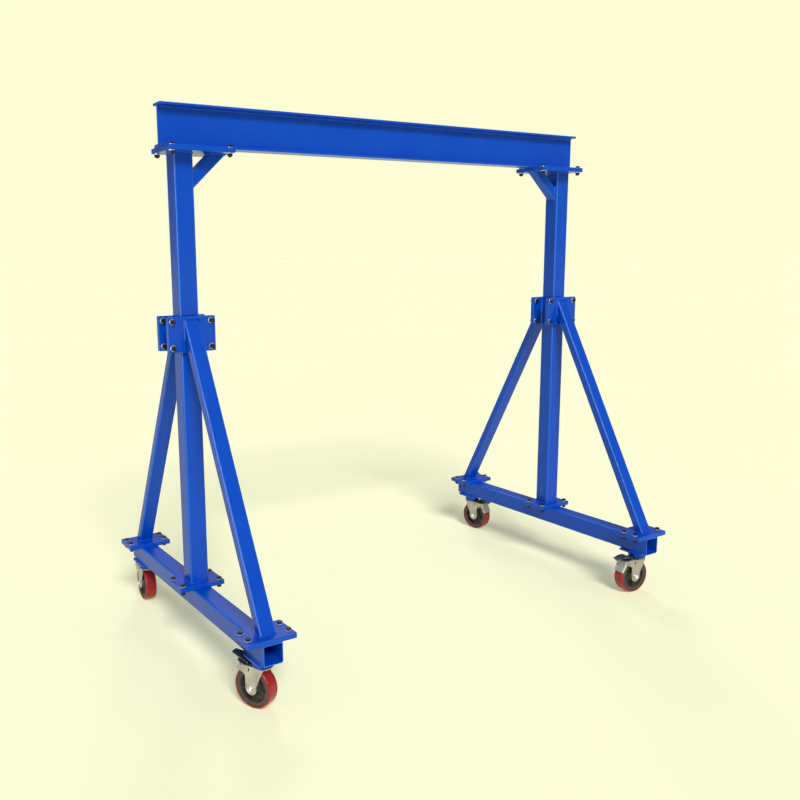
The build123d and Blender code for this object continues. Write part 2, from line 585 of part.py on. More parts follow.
places = all_bolt_places()
save("frame_bolts", *[place * bolt() for place in places])
save("frame_nuts", *[place * nut() for place in places])
under_nut = Pos(0, 0, -BOLT_GRIP + WASHER)
save("frame_washers", *[place * washer() for place in places],
     *[place * under_nut * washer() for place in places])

save("caster_top_plates", *[placed(c) * Rot(0, 0, -c["swivel"]) * caster_top_plate()
                            for c in CASTERS.values()])
save("race_cups", *[placed(c) * race_cup() for c in CASTERS.values()])
save("kingpins", *[placed(c) * kingpin() for c in CASTERS.values()])
save("swivel_balls", *[placed(c) * ball for c in CASTERS.values() for ball in balls()])

for name, caster in CASTERS.items():
    here = placed(caster)
    save(f"fork_{name}", here * fork())
    save(f"axle_{name}", *[here * piece for piece in axle_set()])
    save(f"wheel_core_{name}", here * wheel_core())
    save(f"wheel_tread_{name}", here * wheel_tread())
    save(f"wheel_bearings_{name}", *[here * piece for piece in wheel_bearings()])
    save(f"brake_pin_{name}", here * brake_pin())
    save(f"brake_shoe_{name}", here * pedal_turn(caster) * brake_shoe())
    save(f"brake_pedal_{name}", here * pedal_turn(caster) * brake_pedal())
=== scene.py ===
# %% [markdown]
# # A portable gantry crane
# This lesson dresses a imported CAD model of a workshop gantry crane: a blue steel I-beam on two masts,
# each held upright by a pair of struts and rolling on two braked swivel casters. The CAD model gives
# every size and every moving body. Here each plate, tube, bolt, weld and wheel gets the rounded edges
# and the finish that it has when it leaves the paint shop. All lengths are in metres.

# %% Load the fixed frame
import json
import math
import bmesh
import bpy
import mathutils
import numpy as np
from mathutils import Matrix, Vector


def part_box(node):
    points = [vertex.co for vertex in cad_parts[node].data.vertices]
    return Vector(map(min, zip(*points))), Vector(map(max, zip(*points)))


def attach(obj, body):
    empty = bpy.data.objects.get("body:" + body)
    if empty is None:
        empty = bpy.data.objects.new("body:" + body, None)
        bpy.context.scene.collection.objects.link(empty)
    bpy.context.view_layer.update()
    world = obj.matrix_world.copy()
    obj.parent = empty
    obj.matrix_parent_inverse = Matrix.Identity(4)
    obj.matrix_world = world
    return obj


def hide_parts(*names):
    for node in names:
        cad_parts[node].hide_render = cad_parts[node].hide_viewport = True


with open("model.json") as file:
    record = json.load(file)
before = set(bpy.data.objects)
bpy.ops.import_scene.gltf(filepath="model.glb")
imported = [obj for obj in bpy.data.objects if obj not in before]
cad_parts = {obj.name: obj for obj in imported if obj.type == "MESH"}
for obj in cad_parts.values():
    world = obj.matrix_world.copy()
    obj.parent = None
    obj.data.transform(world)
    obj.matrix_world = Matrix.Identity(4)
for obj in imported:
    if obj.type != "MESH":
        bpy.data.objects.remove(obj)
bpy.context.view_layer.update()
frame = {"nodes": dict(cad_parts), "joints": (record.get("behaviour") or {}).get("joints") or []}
joints = {joint["name"]: joint for joint in frame["joints"]}

# %% [markdown]
# ## Where things are
# The masts tell where the two side frames stand, and the casters' joints tell where each one swivels,
# rolls and brakes. These places could be typed in as numbers, but then they would be wrong as soon as
# the model changed. Reading them from the frame keeps every new piece on the model's own places. Two
# plates lie between a base tube and a mast, so half of that gap is the plate's thickness.

# %% Read the main places
MM = 0.001
SIDES = {"left": -1, "right": 1}
ENDS = {"front": -1, "back": 1}


def box_of(node):
    """Lowest and highest corner of a CAD node, as arrays."""
    low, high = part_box(node)
    return np.array(low), np.array(high)


def middle(node):
    low, high = box_of(node)
    return (low + high) / 2


mast_low, mast_high = box_of("mast_right")
beam_low, beam_high = box_of("main_beam")
MID_Y = middle("main_beam")[1]
MAST_X = middle("mast_right")[0]
MAST_HALF = (mast_high[0] - mast_low[0]) / 2
FOOT_TOP = mast_low[2]
MAST_TOP = mast_high[2]
BEAM_BOTTOM = beam_low[2]
base_low, base_high = box_of("base_tube_right")
BASE_TOP, BASE_BOTTOM = base_high[2], base_low[2]
PLATE = (FOOT_TOP - BASE_TOP) / 2
COLLAR_Z = middle("mast_collar_plates")[2]
foot_size = np.diff(box_of("mast_foot_plate_left"), axis=0)[0]
STRUT_PLATE_Y = MID_Y - box_of("strut_foot_plates")[0][1] - foot_size[1] / 2
print("masts at x = +-", round(MAST_X, 4), "beam underside", round(BEAM_BOTTOM, 4))
print("plates", round(PLATE, 4), "thick; strut plates", round(STRUT_PLATE_Y, 4), "from the middle")

# %% [markdown]
# ## Surfaces from arrays
# A piece could be put together from Blender's ready-made cubes and cylinders, but those have razor
# edges and no welds. Here every new piece is a grid of points instead: rows are stations along the
# piece and columns go round it. A surface is a triple: the points, a list of face arrays, and an edge
# value for each point that is 1 on worn edges, up to 0.8 along a tube's rounded bends, where it is a
# painted highlight, and 0 on flats. Pieces are joined by stacking arrays.

# %% Grid helpers


def unit(vectors):
    vectors = np.asarray(vectors, float)
    return vectors / np.linalg.norm(vectors, axis=-1, keepdims=True)


def grid_faces(rows, columns, ring=False):
    """Four-cornered faces between neighbouring rows; ring joins the last row to the first as well."""
    last = rows if ring else rows - 1
    row, column = np.meshgrid(np.arange(last), np.arange(columns), indexing="ij")
    row_next, column_next = (row + 1) % rows, (column + 1) % columns
    corners = [row * columns + column, row * columns + column_next,
               row_next * columns + column_next, row_next * columns + column]
    return np.stack(corners, -1).reshape(-1, 4)


def loft(rings, wear_and_sheen=None, ring=False, caps=(True, True)):
    """Surface through equal closed rings, an array of rings x points x 3, with flat ends."""
    rows, columns = rings.shape[:2]
    faces = [grid_faces(rows, columns, ring)]
    if caps[0] and not ring:
        faces.append(np.arange(columns)[None, ::-1])
    if caps[1] and not ring:
        faces.append(np.arange(columns)[None] + (rows - 1) * columns)
    wear_and_sheen = np.zeros(rows) if wear_and_sheen is None else np.asarray(wear_and_sheen, float)
    return rings.reshape(-1, 3), faces, np.repeat(wear_and_sheen, columns)


def join(surfaces):
    """One surface from many, their faces renumbered."""
    surfaces = list(surfaces)
    starts = np.cumsum([0] + [len(points) for points, _, _ in surfaces])
    faces = [face + start for (_, group, _), start in zip(surfaces, starts) for face in group]
    return (np.concatenate([s[0] for s in surfaces]), faces, np.concatenate([s[2] for s in surfaces]))


def place(surface, origin=(0, 0, 0), x=(1, 0, 0), y=(0, 1, 0), z=(0, 0, 1)):
    """The surface carried from its own axes to the axes x, y, z at origin."""
    points, faces, wear_and_sheen = surface
    return points @ np.array([x, y, z], float) + np.array(origin, float), faces, wear_and_sheen


print("an open grid of 3 rows and 4 columns has", len(grid_faces(3, 4)), "faces")

# %% [markdown]
# ## Outlines
# Rolled and cut steel has no razor edges. A Bevel modifier could round them, but it knows one width
# for a whole piece, while a rolled beam has small radii at its tips and large ones at its web. So an
# outline here is a closed run of corners, each with a radius of its own: the arc's centre lies on the
# corner's bisector, and its points turn evenly from one side's normal to the next.

# %% Rounded outlines


def rounded(corners, radii, steps=5):
    """Closed outline with each corner replaced by an arc that touches both of its sides."""
    corners = np.asarray(corners, float)
    radii = np.broadcast_to(np.asarray(radii, float), len(corners))
    before = unit(corners - np.roll(corners, 1, 0))
    after = unit(np.roll(corners, -1, 0) - corners)
    cross = before[:, 0] * after[:, 1] - before[:, 1] * after[:, 0]
    turn = np.arctan2(cross, (before * after).sum(1))
    side = np.sign(turn)
    normal = np.stack([-before[:, 1], before[:, 0]], 1) * side[:, None]
    start = corners - before * (radii * np.tan(np.abs(turn) / 2))[:, None]
    centre = start + normal * radii[:, None]
    sweep = turn[:, None] * np.linspace(0, 1, steps + 1)[None]
    cos, sin = np.cos(sweep), np.sin(sweep)
    arm = start - centre
    x = centre[:, :1] + arm[:, :1] * cos - arm[:, 1:] * sin
    y = centre[:, 1:] + arm[:, :1] * sin + arm[:, 1:] * cos
    return np.stack([x, y], -1).reshape(-1, 2)


def rectangle(width, height, radius, steps=5):
    """Rectangle about the origin with rounded corners, anticlockwise."""
    w, h = width / 2, height / 2
    return rounded([(-w, -h), (w, -h), (w, h), (-w, h)], radius, steps)


def outward(outline):
    """Unit normals of an anticlockwise outline, the mean of the two sides at each point."""
    side = unit(np.roll(outline, -1, 0) - outline)
    normal = np.stack([side[:, 1], -side[:, 0]], 1)
    return unit(normal + np.roll(normal, 1, 0))


def slab(outline, thickness, edge=1.2 * MM, steps=3):
    """Plate on an outline: its rim rolls over by a quarter circle of radius edge on both faces."""
    angle = np.linspace(0, math.pi / 2, steps + 1)
    inset = np.concatenate([[1.6 * edge], edge * (1 - np.sin(angle))])
    height = np.concatenate([[0], edge * (1 - np.cos(angle))])
    inset = np.concatenate([inset, inset[::-1]])
    height = np.concatenate([height, thickness - height[::-1]])
    flat = outline[None] - outward(outline)[None] * inset[:, None, None]
    level = np.broadcast_to(height[:, None, None], flat.shape[:2] + (1,))
    return loft(np.concatenate([flat, level], -1), (inset > 0) & (inset <= 1.01 * edge))


print("a rounded rectangle has", len(rectangle(1, 1, 0.1)), "points and its slab",
      len(slab(rectangle(1, 1, 0.1), 0.1)[0]))

# %% [markdown]
# ## Tubes and turned pieces
# A tube is its outline carried straight along an axis until it meets a plane at each end, which is
# how a saw cuts it to a mitre. Cutting a long tube with a boolean would give the same ends but ragged
# faces; letting each line of the section end on the plane keeps the grid clean. A turned piece is a
# profile of radius and height carried round a circle, as on a lathe.

# %% Tubes and turning


def tube(outer, inner, origin, x, y, cuts, edge=0.8 * MM):
    """Hollow section along x cross y. Each cut is (point, normal), and every line ends on it."""
    x, y = np.asarray(x, float), np.asarray(y, float)
    axis = np.cross(x, y)

    def line(outline, inset, cut, back):
        base = np.array(origin) + outline[:, :1] * x + outline[:, 1:] * y
        point, normal = np.asarray(cut[0], float), np.asarray(cut[1], float)
        reach = (point - base) @ normal / (axis @ normal)
        normals = outward(outline)
        shift = normals[:, :1] * x + normals[:, 1:] * y
        return base + (reach[:, None] + back) * axis - inset * shift

    start, end = cuts
    rings = [line(outer, edge, start, 0), line(outer, 0, start, edge), line(outer, 0, end, -edge),
             line(outer, edge, end, 0), line(inner, -edge, end, 0), line(inner, 0, end, -edge),
             line(inner, 0, start, edge), line(inner, -edge, start, 0)]
    points, faces, _ = loft(np.stack(rings), ring=True)
    # Rows at the cut ends get 1, for rubbed edges; along each rounded bend the value rises to 0.8 at
    # mid-arc, where the paler blue is a painted highlight.
    painted_corner_highlight = np.tile(np.sin(np.linspace(0, math.pi, len(outer) // 4)), 4)
    wear_and_sheen = np.outer([1, 0, 0, 1, 1, 0, 0, 1], np.ones(len(painted_corner_highlight)))
    wear_and_sheen += np.outer([0, 0.8, 0.8, 0, 0, 0, 0, 0], painted_corner_highlight)
    return points, faces, wear_and_sheen.ravel()


def turned(profile, segments=48, wear_and_sheen=None, ring=True):
    """Profile of (radius, height) carried round the z axis: x = r cos a, y = r sin a."""
    profile = np.asarray(profile, float)
    angle = np.arange(segments) * 2 * math.pi / segments
    points = np.stack([profile[:, :1] * np.cos(angle), profile[:, :1] * np.sin(angle),
                       np.broadcast_to(profile[:, 1:], (len(profile), segments))], -1)
    return loft(points, wear_and_sheen, ring=ring)


print("a turned ring of 3 x 48 has", len(turned([(1, 0), (1, 1), (0.9, 0.5)])[0]), "points")

# %% [markdown]
# ## Weld beads
# A fillet weld fills the corner between two faces with a slightly bulging bead. The welder moves in
# small steps, so the bead swells and narrows like a row of laid coins. A bump in the paint could hint
# at that, but the bead's outline would stay flat, so it is real geometry: a quarter-circle profile
# between the two face directions, carried along the corner.

# %% Weld bead surface
BEAD_PITCH = 4.5 * MM


def weld(path, first, second, size=5 * MM, closed=False):
    """Bead along a path. At each station its profile swings from direction first to second, and its
    radius is size times 1 + 0.07 of a rounded ripple in arc length plus a slow drift."""
    path = np.asarray(path, float)
    first = np.broadcast_to(np.asarray(first, float), path.shape)
    second = np.broadcast_to(np.asarray(second, float), path.shape)
    if closed:
        path, first, second = [np.concatenate([a, a[:1]]) for a in (path, first, second)]
    run = np.concatenate([[0], np.cumsum(np.linalg.norm(np.diff(path, axis=0), axis=1))])
    count = max(6, int(round(run[-1] / BEAD_PITCH)) * 4)
    at = np.linspace(0, run[-1], count + (not closed), endpoint=not closed)

    def resample(values):
        return np.stack([np.interp(at, run, values[:, i]) for i in range(3)], 1)

    path, first, second = resample(path), unit(resample(first)), unit(resample(second))
    ripple = 0.07 * np.abs(np.sin(math.pi * at / BEAD_PITCH))
    drift = 0.05 * np.sin(at * 61 + path.sum(1) * 40)
    radius = size * (0.95 + (ripple + drift))
    if not closed:
        radius = radius * np.clip(np.minimum(at, run[-1] - at) / size + 0.35, 0, 1)
    swing = np.linspace(0, math.pi / 2, 5)
    bulge = 1 - 0.16 * np.sin(2 * swing)
    arc = np.cos(swing)[:, None] * first[:, None] + np.sin(swing)[:, None] * second[:, None]
    arc = path[:, None] + arc * (bulge[None, :] * radius[:, None])[..., None]
    corner = path - (first + second) * 0.4 * MM
    rings = np.concatenate([corner[:, None], arc], 1)
    return loft(rings, ring=closed)


print("a bead 100 mm long has", len(weld([(0, 0, 0), (0.1, 0, 0)], (0, 1, 0), (0, 0, 1))[0]), "points")

# %% [markdown]
# ## Turning arrays into pieces
# Whole arrays go in with `foreach_set`, because adding thousands of points one at a time is slow. The
# edge values go into a point attribute that the paints read: worn edges, and along the tubes' bends a
# painted highlight. Most pieces are blue and stand still, so `painted` makes those.

# %% Mesh maker
SMOOTH_BELOW = 35


def point_outwards(mesh):
    work = bmesh.new()
    work.from_mesh(mesh)
    bmesh.ops.recalc_face_normals(work, faces=work.faces)
    work.to_mesh(mesh)
    work.free()


def make_piece(name, surface, body, material, hides=()):
    """Mesh object from a surface, riding on a body, finish and the nodes it hides."""
    points, faces, wear_and_sheen = surface
    mesh = bpy.data.meshes.new(name)
    sizes = np.concatenate([np.full(len(face), face.shape[1]) for face in faces])
    mesh.vertices.add(len(points))
    mesh.vertices.foreach_set("co", points.astype(np.float32).ravel())
    mesh.loops.add(int(sizes.sum()))
    corners = np.concatenate([face.ravel() for face in faces])
    mesh.loops.foreach_set("vertex_index", corners.astype(np.int32))
    mesh.polygons.add(len(sizes))
    mesh.polygons.foreach_set("loop_start", (np.cumsum(sizes) - sizes).astype(np.int32))
    mesh.update(calc_edges=True)
    worn_and_sheen = mesh.attributes.new("wear_and_sheen", "FLOAT", "POINT")
    worn_and_sheen.data.foreach_set("value", wear_and_sheen.astype(np.float32))
    point_outwards(mesh)
    mesh.shade_smooth()
    mesh.set_sharp_from_angle(angle=math.radians(SMOOTH_BELOW))
    mesh.materials.append(material)
    piece = bpy.data.objects.new(name, mesh)
    bpy.context.scene.collection.objects.link(piece)
    even = piece.modifiers.new("even_normals", "WEIGHTED_NORMAL")
    even.keep_sharp = True
    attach(piece, body)
    if hides:
        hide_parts(*hides)
    print(name, len(mesh.vertices), "points on", body)
    return piece


def painted(name, surface, *hides):
    """A blue piece of the standing frame."""
    return make_piece(name, surface, "frame", blue_paint, hides)


print("bends under", SMOOTH_BELOW, "degrees are smooth")

# %% [markdown]
# ## Shared finishes
# Three effects come back in every finish. Copied into each material they would drift apart, so each
# is a node group, built once: fine grain for the bump of a sprayed, cast or rolled skin; slow blotches
# that keep a colour from being one flat value; and the edge mask, which breaks the edge attribute up
# so that only patches of an edge are rubbed, and only patches of a tube's bends carry the painted
# highlight.

# %% Node groups


def new_group(name, inputs, outputs):
    group = bpy.data.node_groups.new(name, "ShaderNodeTree")
    for label, value in inputs.items():
        socket = group.interface.new_socket(label, in_out="INPUT", socket_type="NodeSocketFloat")
        socket.default_value = value
    for label in outputs:
        group.interface.new_socket(label, in_out="OUTPUT", socket_type="NodeSocketFloat")
    return group, group.nodes.new("NodeGroupInput"), group.nodes.new("NodeGroupOutput")


def add(tree, kind, links=(), **values):
    """New node with plain properties and input defaults set by name, and links from (socket, input)."""
    node = tree.nodes.new("ShaderNode" + kind)
    for key, value in values.items():
        if hasattr(node, key):
            setattr(node, key, value)
        else:
            node.inputs[key.replace("_", " ")].default_value = value
    for source, target in links:
        tree.links.new(source, node.inputs[target])
    return node


def grain_group():
    """Height = fine noise + a share of coarse noise, both on Object coordinates."""
    group, given, out = new_group("grain", {"Scale": 400.0, "Coarse": 0.3}, ["Height"])
    place_at = add(group, "TexCoord").outputs["Object"]
    scale = given.outputs["Scale"]
    fine = add(group, "TexNoise", [(place_at, "Vector"), (scale, "Scale")], Detail=3.0)
    eighth = add(group, "Math", [(scale, 0)], operation="MULTIPLY")
    eighth.inputs[1].default_value = 0.12
    coarse = add(group, "TexNoise", [(place_at, "Vector"), (eighth.outputs[0], "Scale")], Detail=2.0)
    share = add(group, "Math", [(coarse.outputs[0], 0), (given.outputs["Coarse"], 1)],
                operation="MULTIPLY")
    total = add(group, "Math", [(fine.outputs[0], 0), (share.outputs[0], 1)], operation="ADD")
    group.links.new(total.outputs[0], out.inputs["Height"])
    return group


def blotch_group():
    """Value from 0 to 1 = two noises of different size, stretched to full contrast."""
    group, given, out = new_group("blotches", {"Scale": 6.0, "Contrast": 1.0}, ["Value"])
    place_at = add(group, "TexCoord").outputs["Object"]
    noise = add(group, "TexNoise", [(place_at, "Vector"), (given.outputs["Scale"], "Scale")],
                Detail=6.0, Roughness=0.62)
    centred = add(group, "Math", [(noise.outputs[0], 0)], operation="SUBTRACT")
    centred.inputs[1].default_value = 0.5
    stretched = add(group, "Math", [(centred.outputs[0], 0), (given.outputs["Contrast"], 1)],
                    operation="MULTIPLY")
    value = add(group, "Math", [(stretched.outputs[0], 0)], operation="MULTIPLY_ADD", use_clamp=True)
    value.inputs[1].default_value = 2.4
    value.inputs[2].default_value = 0.5
    group.links.new(value.outputs[0], out.inputs["Value"])
    return group


def wear_and_sheen_group():
    """Mask = edge attribute x noise, cut to patches: Amount moves the cut."""
    group, given, out = new_group("edge_wear_and_sheen", {"Amount": 0.5, "Scale": 90.0}, ["Mask"])
    place_at = add(group, "TexCoord").outputs["Object"]
    # The edge attribute holds scuffed edges and, along the tubes' bends, a painted highlight.
    edge = add(group, "Attribute", attribute_name="wear_and_sheen")
    noise = add(group, "TexNoise", [(place_at, "Vector"), (given.outputs["Scale"], "Scale")],
                Detail=5.0, Roughness=0.7)
    cut = add(group, "Math", [(given.outputs["Amount"], 1)], operation="SUBTRACT")
    cut.inputs[0].default_value = 1.0
    over = add(group, "Math", [(noise.outputs[0], 0), (cut.outputs[0], 1)], operation="SUBTRACT")
    patch = add(group, "Math", [(over.outputs[0], 0)], operation="MULTIPLY", use_clamp=True)
    patch.inputs[1].default_value = 9.0
    mask = add(group, "Math", [(patch.outputs[0], 0), (edge.outputs["Fac"], 1)],
               operation="MULTIPLY", use_clamp=True)
    group.links.new(mask.outputs[0], out.inputs["Mask"])
    return group


GRAIN, BLOTCH, WEAR_AND_SHEEN = grain_group(), blotch_group(), wear_and_sheen_group()
print("node groups:", [group.name for group in bpy.data.node_groups])

# %% [markdown]
# ## Finishes
# A real finish is never one flat colour. It could be painted as an image, but an image needs unwrapped
# pieces and has a limit to its sharpness; nodes need neither. A finish mixes two tones of its colour
# by the blotches, then a third tone where edges are rubbed; along the blue tubes' bends that third
# tone is a painted highlight. Roughness follows the same blotches, because a handled or dusty patch
# is duller, and the grain drives a bump. Gloss paint gets a clear coat on the shader itself.

# %% Finish builder
GRAIN_DEPTH, COAT_ROUGHNESS = 0.4 * MM, 0.08


def finish(name, tones, rough, grain, bump, worn_and_sheen=None, metal=0.0, coat=0.0, blotch=(6.0, 1.0),
           wear_and_sheen_amount=0.5, gloss=0.4):
    """tones: two colours; rough: two roughnesses; grain: (scale, coarse share); worn: third colour, on
    scuffed edges and, along the blue tubes' bends, a painted highlight; blotch: (scale, contrast)."""
    material = bpy.data.materials.new(name)
    material.use_nodes = True
    tree = material.node_tree
    shader = tree.nodes["Principled BSDF"]
    shader.inputs["Metallic"].default_value = metal
    shader.inputs["Coat Weight"].default_value = coat
    shader.inputs["Coat Roughness"].default_value = COAT_ROUGHNESS
    shader.inputs["Specular IOR Level"].default_value = gloss

    def group(which, **values):
        node = tree.nodes.new("ShaderNodeGroup")
        node.node_tree = which
        for key, value in values.items():
            node.inputs[key].default_value = value
        return node

    def mix(factor, low, high):
        node = tree.nodes.new("ShaderNodeMix")
        node.data_type = "RGBA"
        tree.links.new(factor, node.inputs["Factor"])
        for socket, value in ((node.inputs[6], low), (node.inputs[7], high)):
            if hasattr(value, "is_linked"):
                tree.links.new(value, socket)
            else:
                socket.default_value = (*value, 1)
        return node.outputs[2]

    patches = group(BLOTCH, Scale=blotch[0], Contrast=blotch[1]).outputs["Value"]
    colour = mix(patches, *tones)
    # Where the edge mask is set the colour turns to the third tone: scuffed edges, and along the blue
    # tubes' bends a painted highlight.
    if worn_and_sheen:
        rubbed_and_sheen = group(WEAR_AND_SHEEN, Amount=wear_and_sheen_amount).outputs["Mask"]
        colour = mix(rubbed_and_sheen, colour, worn_and_sheen)
    tree.links.new(colour, shader.inputs["Base Color"])
    dull = add(tree, "MapRange", [(patches, "Value")])
    dull.inputs["To Min"].default_value = rough[0]
    dull.inputs["To Max"].default_value = rough[1]
    tree.links.new(dull.outputs[0], shader.inputs["Roughness"])
    height = group(GRAIN, Scale=grain[0], Coarse=grain[1]).outputs["Height"]
    relief = add(tree, "Bump", [(height, "Height")], Strength=bump, Distance=GRAIN_DEPTH)
    tree.links.new(relief.outputs[0], shader.inputs["Normal"])
    return material


print("a finish uses", [group.name for group in (GRAIN, BLOTCH, WEAR_AND_SHEEN)])

# %% [markdown]
# ## The crane's materials
# Gloss blue enamel over rough steel shows faint orange peel and slightly paler, thinner film along
# edges; the same paler blue, in patches along the tubes' rounded bends, is a painted highlight.
# Bolts are black oxide with zinc washers; forks and brake shoes are dull zinc that has turned warm
# grey; the wheel centres are cast iron and the tyres are red polyurethane. The grain's scale is in
# waves per metre, so a bolt needs a finer one than a beam. Zinc is only partly metallic here: a full
# metal would mirror the plain studio and look black wherever the studio is dark.

# %% Materials
# The worn tone, a paler blue, is thinner film on edges and, along the tubes' bends, a painted
# highlight.
blue_paint = finish("blue_enamel", [(0.0, 0.058, 0.47), (0.0, 0.070, 0.53)], (0.28, 0.38),
                    (260, 1.2), 0.06, worn_and_sheen=(0.01, 0.15, 0.70), coat=0.12, blotch=(3.0, 1.0),
                    wear_and_sheen_amount=0.65, gloss=0.2)
black_oxide = finish("black_oxide_bolts", [(0.010, 0.010, 0.012), (0.03, 0.03, 0.034)],
                     (0.25, 0.42), (900, 0.4), 0.15, worn_and_sheen=(0.30, 0.30, 0.31), metal=0.5,
                     blotch=(60, 1.2), wear_and_sheen_amount=0.38)
zinc = finish("bright_zinc", [(0.74, 0.75, 0.78), (0.88, 0.88, 0.88)], (0.18, 0.34),
              (700, 0.6), 0.12, worn_and_sheen=(0.9, 0.9, 0.9), metal=0.6, blotch=(50, 1.2))
fork_zinc = finish("dull_zinc_fork", [(0.36, 0.335, 0.29), (0.52, 0.49, 0.44)], (0.34, 0.52),
                   (420, 1.0), 0.16, worn_and_sheen=(0.68, 0.66, 0.62), metal=0.75, blotch=(22, 1.1))
shoe_zinc = finish("dull_zinc_shoe", [(0.50, 0.50, 0.45), (0.66, 0.66, 0.60)], (0.32, 0.48),
                   (420, 0.8), 0.14, worn_and_sheen=(0.8, 0.8, 0.76), metal=0.7, blotch=(30, 1.1))
pedal_paint = finish("pedal_enamel", [(0.022, 0.035, 0.05), (0.045, 0.062, 0.08)], (0.26, 0.42),
                     (500, 0.8), 0.12, worn_and_sheen=(0.35, 0.36, 0.36), coat=0.2, blotch=(40, 1.1))
cast_iron = finish("cast_iron_core", [(0.045, 0.036, 0.032), (0.085, 0.070, 0.062)], (0.5, 0.68),
                   (650, 1.6), 0.45, worn_and_sheen=(0.16, 0.14, 0.13), metal=0.25, blotch=(26, 1.1))
tyre_red = finish("red_polyurethane", [(0.26, 0.006, 0.008), (0.38, 0.011, 0.013)], (0.28, 0.44),
                  (300, 1.0), 0.08, worn_and_sheen=(0.5, 0.06, 0.05), blotch=(18, 1.1))
bearing_steel = finish("bearing_steel", [(0.55, 0.56, 0.58), (0.72, 0.73, 0.75)], (0.14, 0.26),
                       (900, 0.5), 0.08, metal=1.0, blotch=(70, 1.0))
print("materials:", [material.name for material in bpy.data.materials])

# %% [markdown]
# ## Main beam
# The beam is a hot-rolled I-section: the web runs into each flange through a root fillet and the
# flange tips are slightly rounded by the rolls. Three boxes would make an I without its fillets, and
# those catch the light along the whole beam, so one outline holds all of it and is carried along X.

# %% Main beam
WEB, FLANGE, ROOT, TOE = 7.5 * MM, 11.3 * MM, 8 * MM, 1.5 * MM


def beam_outline():
    """The I as twelve corners: rounded tips at the flanges, larger arcs where web meets flange."""
    w, h = (beam_high[1] - beam_low[1]) / 2, (beam_high[2] - beam_low[2]) / 2
    t, inner = WEB / 2, h - FLANGE
    corners = [(-w, -h), (w, -h), (w, -inner), (t, -inner), (t, inner), (w, inner),
               (w, h), (-w, h), (-w, inner), (-t, inner), (-t, -inner), (-w, -inner)]
    radii = [TOE, TOE, TOE, ROOT, ROOT, TOE] * 2
    return rounded(corners, radii)


beam = slab(beam_outline(), beam_high[0] - beam_low[0], edge=0.6 * MM)
beam = place(beam, (beam_low[0], MID_Y, middle("main_beam")[2]), (0, 1, 0), (0, 0, 1), (1, 0, 0))
painted("beam_i_section", beam, "main_beam")

# %% [markdown]
# ## Plates
# All the flat plates are laser-cut from 12 mm steel with lightly broken edges and small corner radii.
# Their bolt holes are fully covered by the washers, so the plates are made whole: holes cut by a
# boolean would cost faces that nobody can see. The plates that are alike share one blank.

# %% Plates
CORNER = 4 * MM


def plate_like(node):
    """A plate with the size and place of a CAD node that holds one plate lying flat."""
    low, high = box_of(node)
    size = high - low
    blank = slab(rectangle(size[0], size[1], CORNER), size[2])
    return place(blank, (*(low + high)[:2] / 2, low[2]))


for side in SIDES:
    for node in ("beam_plate", "mast_top_plate", "mast_foot_plate"):
        painted(f"{node}_{side}_cut", plate_like(f"{node}_{side}"), f"{node}_{side}")

foot_blank = slab(rectangle(foot_size[0], foot_size[1], CORNER), PLATE)
strut_spots = [(s * MAST_X, MID_Y + e * STRUT_PLATE_Y) for s in (-1, 1) for e in (-1, 1)]
mast_spots = [(s * MAST_X, MID_Y) for s in (-1, 1)]
upper = [place(foot_blank, (*spot, FOOT_TOP - PLATE)) for spot in strut_spots]
lower = [place(foot_blank, (*spot, BASE_TOP)) for spot in strut_spots + mast_spots]
painted("strut_foot_plates_cut", join(upper), "strut_foot_plates")
painted("base_top_plates_cut", join(lower), "base_top_plates")

# %% [markdown]
# ## Collar plates
# Part-way up each mast two pairs of upright plates meet face to face: one is welded to the mast and
# the other to the strut's head, so the side frame comes apart at their four bolts. They are the same
# slab as the flat plates, stood on edge by `place`, once for every side and face.

# %% Collar plates
collar_low, collar_high = box_of("mast_collar_plates")
COLLAR_WIDTH = collar_high[0] - MAST_X
collar_blank = slab(rectangle(2 * COLLAR_WIDTH, collar_high[2] - collar_low[2], CORNER), PLATE)


def collar(inner_face):
    """The four upright plates whose nearer faces lie inner_face from the mast's centre plane."""
    return join(place(collar_blank, (s * MAST_X, MID_Y + e * inner_face, COLLAR_Z),
                      (-e, 0, 0), (0, 0, 1), (0, e, 0)) for s in (-1, 1) for e in (-1, 1))


painted("mast_collar_plates_cut", collar(MAST_HALF), "mast_collar_plates")
painted("strut_collar_plates_cut", collar(MAST_HALF + PLATE), "strut_collar_plates")
COLLAR_FACE = MAST_HALF + 2 * PLATE

# %% [markdown]
# ## Masts and base tubes
# The uprights and the base tubes are cold-formed square hollow section, 100 mm wide, with an outside
# bend of twice the wall. The base tubes' ends are open, so the inside is modelled as well: the grid
# runs along the outside, turns over the cut end and comes back along the inside.

# %% Masts and base tubes
TUBE_WALL, TUBE_BEND = 5 * MM, 10 * MM
UP, DOWN = np.array([0, 0, 1.0]), np.array([0, 0, -1.0])
ALONG_X, ALONG_Y = np.array([1.0, 0, 0]), np.array([0, 1.0, 0])


def hollow(width, height, wall, bend, steps=7):
    """Outer and inner outline of a hollow section."""
    return (rectangle(width, height, bend, steps),
            rectangle(width - 2 * wall, height - 2 * wall, bend - wall + 1 * MM, steps))


